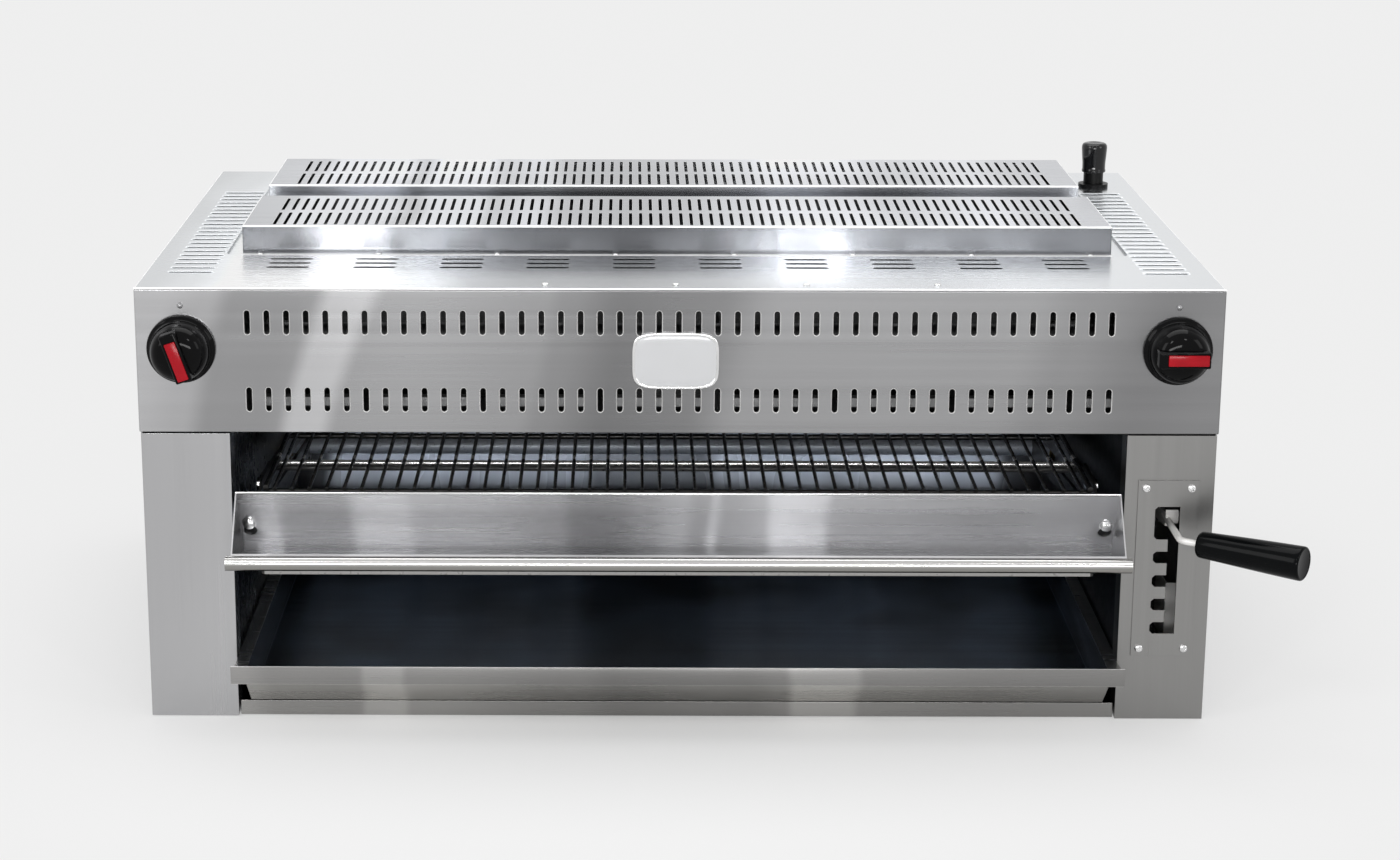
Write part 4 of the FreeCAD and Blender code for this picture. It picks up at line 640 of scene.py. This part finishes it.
def makeHood():
    piece = pan("hoodFront", (-hood["halfWidth"], hood["front"], hood["bottom"]),
                (hood["halfWidth"], hood["back"], hood["top"]), [(0, 1, 0)], hood["bend"], hood["sheet"])
    slot = slotCutter("hoodPunch", hood["slotLength"], hood["slotWidth"], hood["lip"], hood["punchDepth"])
    cutters = [rows(f"hoodCut{number}", slot, "sheet along x", hood["slots"], 1, hood["slotStep"], 0,
                    (0, hood["front"], level), frontTurn) for number, level in enumerate(hood["rows"])]
    punch(piece, *cutters)
    drop(slot)
    paint(evenly(piece), "hood sheet", "slot lip")
    # the flared faces round each slot get a painted highlight
    reach = hood["slotLength"] / 2 + hood["lipZone"]
    for face in piece.data.polygons:
        bySlot = any(abs(face.center.z / mm - level) < reach for level in hood["rows"])
        flared = -0.97 < face.normal.y < -0.15
        face.material_index = int(bySlot and flared and abs(face.center.x) / mm < hood["slotReach"])
    seat(piece, "cabinet", "stainless", "hood_front")


# Top panel: slits, side louvres' holes, the well's opening and the pipe's hole

top = {
    "halfWidth": 457, "front": -280, "back": 280, "top": 380, "flange": 22, "sheet": 0.7, "bend": 1.4,
    "slitGroups": 10, "groupStep": 74.9, "slitRows": 3, "slitLength": 37, "slitWidth": 6.6, "slitStep": 17.6,
    "slitFirst": 86, "slitReach": 397, "slitFront": -200, "slitBack": -146,
    "louvres": 22, "louvreStep": 17.8, "louvreLength": 40, "louvreWidth": 3.0, "louvreFirst": 65,
    "louvreEdge": 438, "lip": 0.1, "punchDepth": 4,
    "wellHalf": 397.5, "wellFront": -143, "wellRear": 238, "wellCorner": 10, "wellSteps": 6,
    "pipeX": 418, "pipeY": 202, "pipeHole": 9.9, "cutDown": 4, "cutUp": 2,
    "reliefIn": 3, "reliefOut": 2, "reliefBack": 24.2,
    "hemRadius": 0.8, "hemEnd": 0.25, "hemAhead": 0.5, "hemDown": 0.45,
}


def louvreCentre(side, height):
    x = side * (top["louvreEdge"] - top["louvreLength"] / 2)
    y = top["front"] + top["louvreFirst"] + top["louvreStep"] * (top["louvres"] - 1) / 2
    return x, y, top["top"] + height


def wellCutter():
    corner = top["wellCorner"]
    outline = []
    for start, (sideX, sideY) in enumerate(((1, 1), (-1, 1), (-1, -1), (1, -1))):
        x = sideX * (top["wellHalf"] - corner)
        y = top["wellRear"] - corner if sideY > 0 else top["wellFront"] + corner
        for k in range(top["wellSteps"] + 1):
            angle = quarter * (start + k / top["wellSteps"])
            outline.append((x + corner * math.cos(angle), y + corner * math.sin(angle)))
    levels = (top["top"] - top["cutDown"], top["top"] + top["cutUp"])
    return stitched("wellCut", [[(x, y, level) for x, y in outline] for level in levels])


def makeTop():
    piece = pan("topPanel", (-top["halfWidth"], top["front"], top["top"] - top["flange"]),
                (top["halfWidth"], top["back"], top["top"]), [(0, 0, -1), (0, -1, 0)], top["bend"],
                top["sheet"])
    slit = slotCutter("slitPunch", top["slitLength"], top["slitWidth"], top["lip"], top["punchDepth"])
    louvre = slotCutter("louvrePunch", top["louvreLength"], top["louvreWidth"], top["lip"], top["punchDepth"])
    for shape in (slit, louvre):
        placed(shape, Matrix.Rotation(quarter, 4, "Z"))
    cutters = [rows("slitCuts", slit, "top sheet", top["slitGroups"], top["slitRows"], top["groupStep"],
                    top["slitStep"], (0, top["front"] + top["slitFirst"] + top["slitStep"], top["top"]))]
    for side in (-1, 1):
        cutters.append(rows(f"louvreCuts{side}", louvre, "top sheet", 1, top["louvres"], 0, top["louvreStep"],
                            louvreCentre(side, 0)))
    cutters.append(wellCutter())
    hole, deep = top["pipeHole"], top["cutDown"]
    pipe = lathe("pipeCut", [(0, -deep), (hole, -deep), (hole, deep), (0, deep)], 32)
    cutters.append(placed(pipe, shift(top["pipeX"], top["pipeY"], top["top"])))
    reliefs = []
    for side in (-1, 1):
        low, high = sorted((side * (top["halfWidth"] - top["reliefIn"]),
                            side * (top["halfWidth"] + top["reliefOut"])))
        reliefs.append(((low, top["front"] - 1, top["top"] - top["flange"] - 1),
                        (high, top["front"] + top["reliefBack"], top["top"] - top["sheet"])))
    cutters.append(boxes("frontRelief", *reliefs))
    punch(piece, *cutters)
    drop(slit, louvre)
    paint(evenly(piece), "top sheet", "bright edge", "inner sheet")
    # bends at the front and sides get a painted edge highlight; the slit walls get painted shade
    for face in piece.data.polygons:
        x, y, up = abs(face.center.x) / mm, face.center.y / mm, face.normal.z
        edge = y < top["front"] + top["bend"] or x > top["halfWidth"] - top["bend"]
        slitWall = x < top["slitReach"] and top["slitFront"] < y < top["slitBack"] and up < 0.9
        face.material_index = 2 if slitWall else int(edge and 0.15 < up < 0.97)
    seat(piece, "cabinet", "stainless", "top_panel")


def makeTopHem():
    # a rolled front edge along the top, painted near-white as a highlight line
    radius, length, end = top["hemRadius"], 2 * top["halfWidth"], top["hemEnd"]
    hem = lathe("topHem", [(0, 0), (radius - end, 0), (radius, end), (radius, length - end),
                           (radius - end, length), (0, length)], 16)
    placed(hem, shift(-top["halfWidth"], top["front"] + top["hemAhead"], top["top"] - top["hemDown"])
           @ Matrix.Rotation(quarter, 4, "Y"))
    paint(smooth(hem, 40), "bright edge")
    seat(hem, "cabinet", "polished_stainless")


# Slotted vent boxes with their side flanges

vents = {
    "halfWidth": 384, "boxes": {"Front": -130, "Rear": 71}, "depth": 146, "bottom": 378, "top": 404,
    "sheet": 1.0, "bend": 1.3, "flange": 7, "flangeGap": 0.05, "flangeBend": 0.25,
    "slots": 80, "slotStep": 9.02, "slotWidth": 3.0, "slotLength": 56.5, "inset": 5.5, "rowGap": 12.5,
    "lip": 0.3, "punchDepth": 4,
}


def makeVents():
    half, gap, low = vents["halfWidth"], vents["flangeGap"], vents["bottom"]
    rowStep = vents["slotLength"] + vents["rowGap"]
    for label, near in vents["boxes"].items():
        far = near + vents["depth"]
        piece = pan(f"ventBox{label}", (-half, near, low), (half, far, vents["top"]), [(0, 0, -1)],
                    vents["bend"], vents["sheet"])
        slot = slotCutter("ventPunch", vents["slotLength"], vents["slotWidth"], vents["lip"],
                          vents["punchDepth"], 3)
        middle = near + vents["inset"] + vents["slotLength"] + vents["rowGap"] / 2
        punch(piece, rows("ventCuts", slot, "top sheet", vents["slots"], 2, vents["slotStep"], rowStep,
                          (0, middle, vents["top"])))
        drop(slot)
        spans = ((near - vents["flange"], near - gap), (far + gap, far + vents["flange"]))
        flanges = boxes("flanges", *(((-half, front, low), (half, back, low + vents["sheet"]))
                                     for front, back in spans))
        joined(piece, rounded(flanges, vents["flangeBend"], 1))
        paint(evenly(piece), "vent sheet", "vent cover", "bright edge", "inner sheet")
        for face in piece.data.polygons:
            x, y, z = abs(face.center.x) / mm, face.center.y / mm, face.center.z / mm
            up, ahead = face.normal.z, face.normal.y < -0.5
            # slot walls and insides get painted shade; the rear box's front face and the tops get the painted
            # light copy; bends and flanges get a painted edge highlight
            if up < 0.5 and near + 2 < y < far - 2 and x < half - 2:
                face.material_index = 3  # slot walls and the inside
            elif up < 0.15:
                face.material_index = int(label == "Rear" and ahead)
            else:
                face.material_index = 2 if up < 0.97 or z < low + 3 else 1
        seat(piece, "cabinet", "stainless", f"vent_box_{label.lower()}")


makeHood()
makeTop()
makeTopHem()
makeVents()
print("slotted sheets ready")


# Plain folded sheets keep their solids' shape and get soft edges

softEdges = {
    "side_panel_left": 0.4, "side_panel_right": 0.4, "front_column_left": 0.4, "front_column_right": 0.4,
    "rear_panel": 0.4, "base_pan": 0.4, "notched_plate": 0.3, "ledge_trough": 0.4, "lever_guide": 0.3,
    "carriage_side_left": 0.4, "carriage_side_right": 0.4,
}
leftGusset = -360  # left of here the ledge's end plate has a dark inner face
for node, width in softEdges.items():
    first, *others = node.split("_")
    piece = mergedCopy(node, first + "".join(word.capitalize() for word in others))
    rounded(piece, width)
    paint(evenly(piece), finishOf[node])
    # the end plate's inner face left of leftGusset gets painted shade
    if node == "ledge_trough":
        piece.data.materials.append(materials["dark steel"])
        for face in piece.data.polygons:
            face.material_index = int(face.normal.x > 0.9 and face.center.x / mm < leftGusset)
    owner = frame["nodes"][node].parent.name.split(":")[1]
    seat(piece, owner, "dark_steel" if finishOf[node] == "dark steel" else "stainless", node)
print("plain sheets ready")


# Side louvres: pressed hoods with their mouths to the front

louvre = {"length": 40.5, "back": 6.5, "front": -1.2, "rise": 0.85, "thick": 0.4, "endRound": 4.0,
          "acrossSteps": 5, "alongSteps": 14, "lift": 0.05}


def louvreShape():
    bm = bmesh.new()
    half = louvre["length"] / 2
    grid = []
    for i in range(louvre["acrossSteps"] + 1):
        share = i / louvre["acrossSteps"]
        y = louvre["back"] + (louvre["front"] - louvre["back"]) * share
        line = []
        for k in range(louvre["alongSteps"] + 1):
            x = -half + 2 * half * k / louvre["alongSteps"]
            end = min(1.0, (half - abs(x)) / louvre["endRound"])
            z = louvre["rise"] * math.sin(quarter * share) * math.sqrt(end * (2 - end))
            line.append(bm.verts.new((x * mm, y * mm, z * mm)))
        grid.append(line)
    for lower, upper in zip(grid, grid[1:]):
        for k in range(louvre["alongSteps"]):
            bm.faces.new((lower[k + 1], lower[k], upper[k], upper[k + 1]))
    shape = made("louvreShape", bm)
    wall = shape.modifiers.new("Sheet", "SOLIDIFY")
    wall.thickness = louvre["thick"] * mm
    wall.offset = -1
    return settled(shape)


def makeLouvres():
    shape = louvreShape()
    sides = [rows(f"louvres{side}", shape, "top sheet", 1, top["louvres"], 0, top["louvreStep"],
                  louvreCentre(side, louvre["lift"])) for side in (-1, 1)]
    piece = joined(*sides)
    piece.name = "sideLouvres"
    drop(shape)
    paint(smooth(piece, 50), "louvre sheet")
    seat(piece, "cabinet", "stainless")


makeLouvres()


# Screws and index studs; each row is columns, rows, their steps, the centre and the turn

screws = {
    "plateHead": (3.6, 2.1), "smallHead": (3.0, 1.6),  # radius and height
    "crossLength": 0.58, "crossWidth": 0.13, "crossFloor": 0.505,  # shares of the head
    "plateRows": (2, 2, 38.4, 143.4, (417, -281.5, 136.5), frontTurn),
    "cabinetRows": {
        "ventScrewsFront": (8, 1, 104.7, 0, (-1.5, -133.6, 379.02)),
        "ventScrewsRear": (8, 1, 104.7, 0, (-1.5, 67.4, 379.02)),
        "edgeScrews": (4, 1, 110, 0, (52.5, -262.5, 380.02)),
        "rearScrewsLevel": (7, 2, 146, 330, (0, 278.8, 190), (-quarter, 0, 0)),
        "rearScrewsUpright": (2, 3, 880, 100, (0, 278.8, 190), (-quarter, 0, 0)),
        "sideScrewsLeft": (4, 2, 150, 280, (-455.6, 0, 190), (quarter, 0, -quarter)),
        "sideScrewsRight": (4, 2, 150, 280, (455.6, 0, 190), (quarter, 0, quarter)),
    },
    "studDome": ((0, 0), (2.6, 0), (2.6, 0.3), (2.3, 1.0), (1.6, 1.7), (0.8, 2.0), (0, 2.08)),
    "studRow": (2, 1, 836.8, 0, (0, -280, 365), frontTurn),
}


def screwShape(name, radius, height):
    # a pan head with a cross recess, flat side down on Z 0
    profile = [(0, 0), (radius * 0.97, 0), (radius, 0.12 * height), (radius, 0.3 * height),
               (radius * 0.93, 0.62 * height), (radius * 0.72, 0.88 * height), (radius * 0.4, 0.98 * height),
               (0, height)]
    head = lathe(name, profile, 24)
    half, wide = radius * screws["crossLength"], radius * screws["crossWidth"]
    along = boxes("crossAlong", ((-half, -wide, height * screws["crossFloor"]), (half, wide, height + 1)))
    across = placed(copyOf(along, "crossAcross"), Matrix.Rotation(quarter, 4, "Z"))
    return punch(head, along, across)


def makeScrews():
    large = screwShape("panHead", *screws["plateHead"])
    small = screwShape("smallHead", *screws["smallHead"])
    stud = lathe("studDome", screws["studDome"], 24)
    plateScrews = rows("plateScrews", large, "bright steel", *screws["plateRows"])
    seat(paint(smooth(plateScrews, 40), "bright steel"), "cabinet", "bright_steel", "plate_screws")
    groups = [rows(name, small, "bright steel", *places) for name, places in screws["cabinetRows"].items()]
    piece = joined(*groups)
    piece.name = "cabinetScrews"
    seat(paint(smooth(piece, 40), "bright steel"), "cabinet", "bright_steel")
    domes = rows("indexStuds", stud, "bright steel", *screws["studRow"])
    seat(paint(smooth(domes, 60), "stud steel"), "cabinet", "bright_steel", "index_studs")
    drop(large, small, stud)


makeScrews()
print("louvres and screws ready")


# Knobs: a turned dome, a finger bar across it and a red pointer set into the bar

knob = {
    "x": 418.4, "z": 328, "front": -281, "pointers": {"left": (-1, 161), "right": (1, 90)},
    "barLength": 43, "barWidth": 14, "barFoot": 4, "barTop": 37, "barEdge": 1.6,
    "insertLength": 34, "insertWidth": 9.6, "insertTop": 37.4, "insertShift": 3, "insertDeep": 1.4,
    "insertEdge": 0.9, "seatGap": 0.25, "seatDeep": 1.5,
    "dome": ((4.2, 0), (28.4, 0), (29, 0.5), (29, 2.6), (28.7, 3.6), (27.9, 4.3), (26.6, 5.0), (25.4, 6.6),
             (24.8, 9.5), (24.5, 13.0), (24.0, 17.0), (23.0, 20.6), (21.4, 23.8), (19.0, 26.4), (15.6, 28.4),
             (11.4, 29.5), (6.0, 29.9), (0, 30.0)),
}


def makeKnobs():
    wide, long = knob["barWidth"] / 2, knob["barLength"] / 2
    half, gap = knob["insertWidth"] / 2, knob["seatGap"]
    low, high = knob["insertShift"] - knob["insertLength"] / 2, knob["insertShift"] + knob["insertLength"] / 2
    for label, (side, pointer) in knob["pointers"].items():
        where = (shift(side * knob["x"], knob["front"], knob["z"])
                 @ Matrix.Rotation(math.radians(pointer), 4, "Y") @ Matrix.Rotation(quarter, 4, "X"))
        dome = lathe("dome", knob["dome"], 96)
        bar = boxes("bar", ((-wide, -long, knob["barFoot"]), (wide, long, knob["barTop"])))
        rounded(bar, knob["barEdge"], 4)
        punch(bar, boxes("seatCut", ((-half - gap, low - gap, knob["barTop"] - knob["seatDeep"]),
                                     (half + gap, high + gap, knob["barTop"] + 2))))
        piece = joined(dome, bar)
        piece.name = f"knob{label.capitalize()}"
        placed(piece, where)
        paint(smooth(piece, 38), "black plastic")
        seat(piece, f"knob_{label}", "black_plastic", f"knob_{label}")
        insert = boxes(f"knobInsert{label.capitalize()}", ((-half, low, knob["barTop"] - knob["insertDeep"]),
                                                           (half, high, knob["insertTop"])))
        placed(rounded(insert, knob["insertEdge"]), where)
        paint(smooth(insert, 25), "red plastic")
        seat(insert, f"knob_{label}", "red_plastic", f"knob_insert_{label}")


makeKnobs()


# Blank name plate: a raised rim round a slightly domed white field

plate = {
    "x": -2.5, "z": 318.4, "halfLength": 36.7, "halfRise": 24.5, "power": 4.6, "front": -280, "steps": 96,
    "rings": ((0, 0.0), (0, 1.4), (0.35, 1.95), (0.9, 2.25), (1.6, 2.3), (2.1, 2.1), (2.5, 1.75), (2.8, 1.85),
              (3.6, 2.1), (9, 2.35), (16, 2.45), (22, 2.5)), "rimRings": 6,
}


def plateRing(shrink, height):
    wide, tall, power = plate["halfLength"] - shrink, plate["halfRise"] - shrink, plate["power"]
    ring = []
    for k in range(plate["steps"]):
        angle = 2 * math.pi * k / plate["steps"]
        along, up = math.cos(angle), math.sin(angle)
        reach = (abs(along / wide) ** power + abs(up / tall) ** power) ** (-1 / power)
        ring.append((plate["x"] + along * reach, plate["front"] - height, plate["z"] + up * reach))
    return ring


def makeNamePlate():
    piece = stitched("namePlateBlank", [plateRing(shrink, height) for shrink, height in plate["rings"]])
    paint(piece, "bright steel", "enamel")
    firstField, lastField = plate["rimRings"] * plate["steps"], (len(plate["rings"]) - 1) * plate["steps"]
    for number, face in enumerate(piece.data.polygons):
        face.material_index = int(firstField <= number <= lastField)
    smooth(piece, 50)
    seat(piece, "cabinet", "badge_enamel", "name_plate_blank")


makeNamePlate()


# Lever grip and gas inlet cap, both turned

grip = {
    "hinge": (422.8, -312.8, 171.5), "start": 17.5, "turn": 54.3,
    "profile": ((3.0, 0), (8.4, 0), (10.2, 0.4), (11.0, 1.4), (11.3, 3.2), (11.8, 16), (12.6, 34), (13.4, 54),
                (14.1, 74), (14.5, 88), (14.5, 91.2), (14.2, 92.3), (13.4, 92.9), (12.6, 93.0), (12.3, 92.6),
                (11.8, 92.5), (0, 92.5)),
}
inletCap = {
    "foot": (418, 202, 395),
    "profile": ((10.0, 0), (11.3, 0), (11.6, 0.4), (11.6, 2), (11.2, 3), (11.3, 9), (11.9, 16), (12.35, 22.5),
                (12.4, 24.5), (12.1, 26.4), (11.2, 27.9), (9.6, 28.7), (7.0, 29.0), (5.4, 28.7), (4.6, 28.5),
                (0, 28.4)),
}


def makeGrip():
    turn = math.radians(grip["turn"])
    ahead = Vector((math.sin(turn), -math.cos(turn), 0))
    piece = lathe("leverGrip", grip["profile"], 64)
    placed(piece, shift(*(Vector(grip["hinge"]) + ahead * grip["start"])) @ facing(ahead))
    paint(smooth(piece, 40), "grip plastic")
    seat(piece, "lever", "black_plastic", "lever_grip")


def makeInletCap():
    piece = placed(lathe("inletCap", inletCap["profile"]), shift(*inletCap["foot"]))
    paint(smooth(piece, 40), "cap plastic")
    seat(piece, "inlet_cap", "black_rubber", "inlet_cap")


makeGrip()
makeInletCap()
print("controls ready")


# Drip tray: painted sheen outside, painted shade inside, a painted highlight on the lip and a painted light
# copy underneath

tray = {
    "edge": 0.35, "insideHalf": 368.2, "insideFront": -309.2, "insideBack": 189, "insideLow": 15.5,
    "insideHigh": 54.4, "lipBack": -305, "underBack": -279,
}


def makeTray():
    piece = rounded(mergedCopy("drip_tray", "dripTray"), tray["edge"])
    paint(piece, "tray outside", "tray sheet", "bright edge", "tray under")
    # the inside gets painted shade, the lip's top a painted edge highlight, the front underside a painted
    # light copy
    for face in piece.data.polygons:
        (x, y, z), normal = face.center / mm, face.normal
        inside = (abs(x) < tray["insideHalf"] and tray["insideFront"] < y < tray["insideBack"]
                  and tray["insideLow"] < z < tray["insideHigh"])
        inward = (normal.z > 0.2 or normal.x * x < -0.2 or (normal.y > 0.5 and y < 0)
                  or (normal.y < -0.5 and y > 0))
        if inside and inward:
            face.material_index = 1
        elif normal.z > 0.5 and y < tray["lipBack"]:
            face.material_index = 2
        elif normal.z < -0.2 and y < tray["underBack"]:
            face.material_index = 3
    smooth(piece)
    seat(piece, "drip_tray", "stainless", "drip_tray")


makeTray()


# Ledge: hem along the top, domed studs square to the slope

ledge = {
    "halfWidth": 377.3, "hemY": -278.2, "top": 201.2, "hemRadius": 1.25, "hemTip": 1.0, "hemEnd": 0.3,
    "studX": 368.5, "studY": -259.15, "studZ": 170, "studOut": 1.3, "slope": (0, -0.8581, -0.5135),
    "stud": ((0, 0), (6.2, 0), (6.2, 0.7), (5.2, 0.9), (5.0, 1.4), (4.9, 3.2), (4.2, 4.4), (2.6, 5.1),
             (0, 5.3)),
}


def makeLedgeTrim():
    length, radius, tip, end = 2 * ledge["halfWidth"], ledge["hemRadius"], ledge["hemTip"], ledge["hemEnd"]
    hem = lathe("ledgeHem", [(0, 0), (tip, 0), (radius, end), (radius, length - end), (tip, length),
                             (0, length)], 16)
    placed(hem, shift(-ledge["halfWidth"], ledge["hemY"], ledge["top"]) @ Matrix.Rotation(quarter, 4, "Y"))
    paint(smooth(hem, 40), "bright steel")
    seat(hem, "carriage", "polished_stainless")
    square = Vector(ledge["slope"])
    dome = lathe("studHead", ledge["stud"], 32)
    domes = []
    for side in (-1, 1):
        foot = Vector((side * ledge["studX"], ledge["studY"], ledge["studZ"])) + square * ledge["studOut"]
        domes.append(placed(copyOf(dome, f"stud{side}"), shift(*foot) @ facing(square)))
    piece = joined(*domes)
    piece.name = "ledgeStuds"
    drop(dome)
    paint(smooth(piece, 35), "bright steel")
    seat(piece, "carriage", "bright_steel", "ledge_studs")


makeLedgeTrim()
print("tray and ledge ready")


# Studio: pale floor that fades into the backdrop, soft lamps, camera; metres

studio = {
    "floor": 0.80, "floorReach": 60.0, "floorLevel": -0.0005, "near": 0.05, "far": 1.0,
    "backdrop": 0.86, "fill": 0.5,
}
lamps = {  # place, aim, size, power
    "overheadSoftbox": ((0.0, 0.4, 2.6), (0, 0, 0.3), (2.6, 1.6), 36),
    "leftSoftbox": ((-2.4, -1.9, 1.7), (0, 0, 0.25), (1.2, 1.6), 22),
    "rightSoftbox": ((2.6, -1.6, 1.5), (0, 0, 0.25), (1.0, 1.4), 12),
    "windowLeft": ((-1.0, -2.6, 2.3), (0, 0, 0.3), (0.35, 0.5), 9),
    "windowRight": ((1.1, -2.6, 2.3), (0, 0, 0.3), (0.3, 0.45), 6),
    "frontFill": ((0.0, -2.9, 0.62), (0, 0.1, 0.15), (1.4, 0.3), 22),
}
view = {"place": (-0.0429, -2.696, 0.9057), "pitch": 15.01, "yaw": 0.00961, "lens": 75.99, "shiftX": 0.0714,
        "sensor": 36}


def seenRays(tree):
    # rays that show the backdrop: from the camera, mirrored or passed through
    path = add(tree, "ShaderNodeLightPath").outputs
    seen = maths(tree, "MAXIMUM", path["Is Camera Ray"], path["Is Glossy Ray"])
    return maths(tree, "MAXIMUM", seen, path["Is Transmission Ray"])


def makeFloor():
    reach, level = studio["floorReach"], studio["floorLevel"]
    mesh = bpy.data.meshes.new("studioFloor")
    corners = [(-reach, -reach, level), (reach, -reach, level), (reach, reach, level), (-reach, reach, level)]
    mesh.from_pydata(corners, [], [(0, 1, 2, 3)])
    floor = bpy.data.objects.new("studioFloor", mesh)
    scene.collection.objects.link(floor)
    tree, shader, where = begin("studio floor")
    shader.inputs["Base Color"].default_value = grey(studio["floor"])
    shader.inputs["Roughness"].default_value = 0.9
    shader.inputs["Specular IOR Level"].default_value = 0.0
    away = add(tree, "ShaderNodeVectorMath", {0: where}, operation="LENGTH").outputs["Value"]
    far = add(tree, "ShaderNodeMapRange", {
        "Value": away, "From Min": studio["near"], "From Max": studio["far"]},
        interpolation_type="SMOOTHSTEP")
    share = maths(tree, "MULTIPLY", far.outputs["Result"], seenRays(tree))
    plain = add(tree, "ShaderNodeEmission", {"Color": grey(studio["backdrop"])})
    blend = add(tree, "ShaderNodeMixShader", {0: share, 1: shader.outputs[0], 2: plain.outputs[0]})
    tree.links.new(blend.outputs[0], tree.nodes["Material Output"].inputs["Surface"])
    paint(floor, "studio floor")


def makeAir():
    world = bpy.data.worlds.new("studioAir")
    scene.world = world
    world.use_nodes = True
    tree = world.node_tree
    shown = mix(tree, seenRays(tree), grey(studio["fill"]), grey(studio["backdrop"]))
    tree.links.new(shown, tree.nodes["Background"].inputs["Color"])


def makeLamps():
    for name, (place, aim, size, power) in lamps.items():
        data = bpy.data.lights.new(name, "AREA")
        data.shape = "RECTANGLE"
        data.size, data.size_y = size
        data.energy = power
        light = bpy.data.objects.new(name, data)
        light.location = place
        light.rotation_euler = (Vector(aim) - Vector(place)).to_track_quat("-Z", "Y").to_euler()
        scene.collection.objects.link(light)


def makeCamera():
    data = bpy.data.cameras.new("camera")
    data.sensor_width = view["sensor"]
    data.lens = view["lens"]
    data.shift_x = view["shiftX"]
    camera = bpy.data.objects.new("camera", data)
    camera.location = view["place"]
    camera.rotation_euler = (math.radians(90 - view["pitch"]), 0, view["yaw"])
    scene.collection.objects.link(camera)
    scene.camera = camera


makeFloor()
makeAir()
makeLamps()
makeCamera()
scene.view_settings.view_transform = "Standard"
print("studio ready")

bpy.context.view_layer.update()
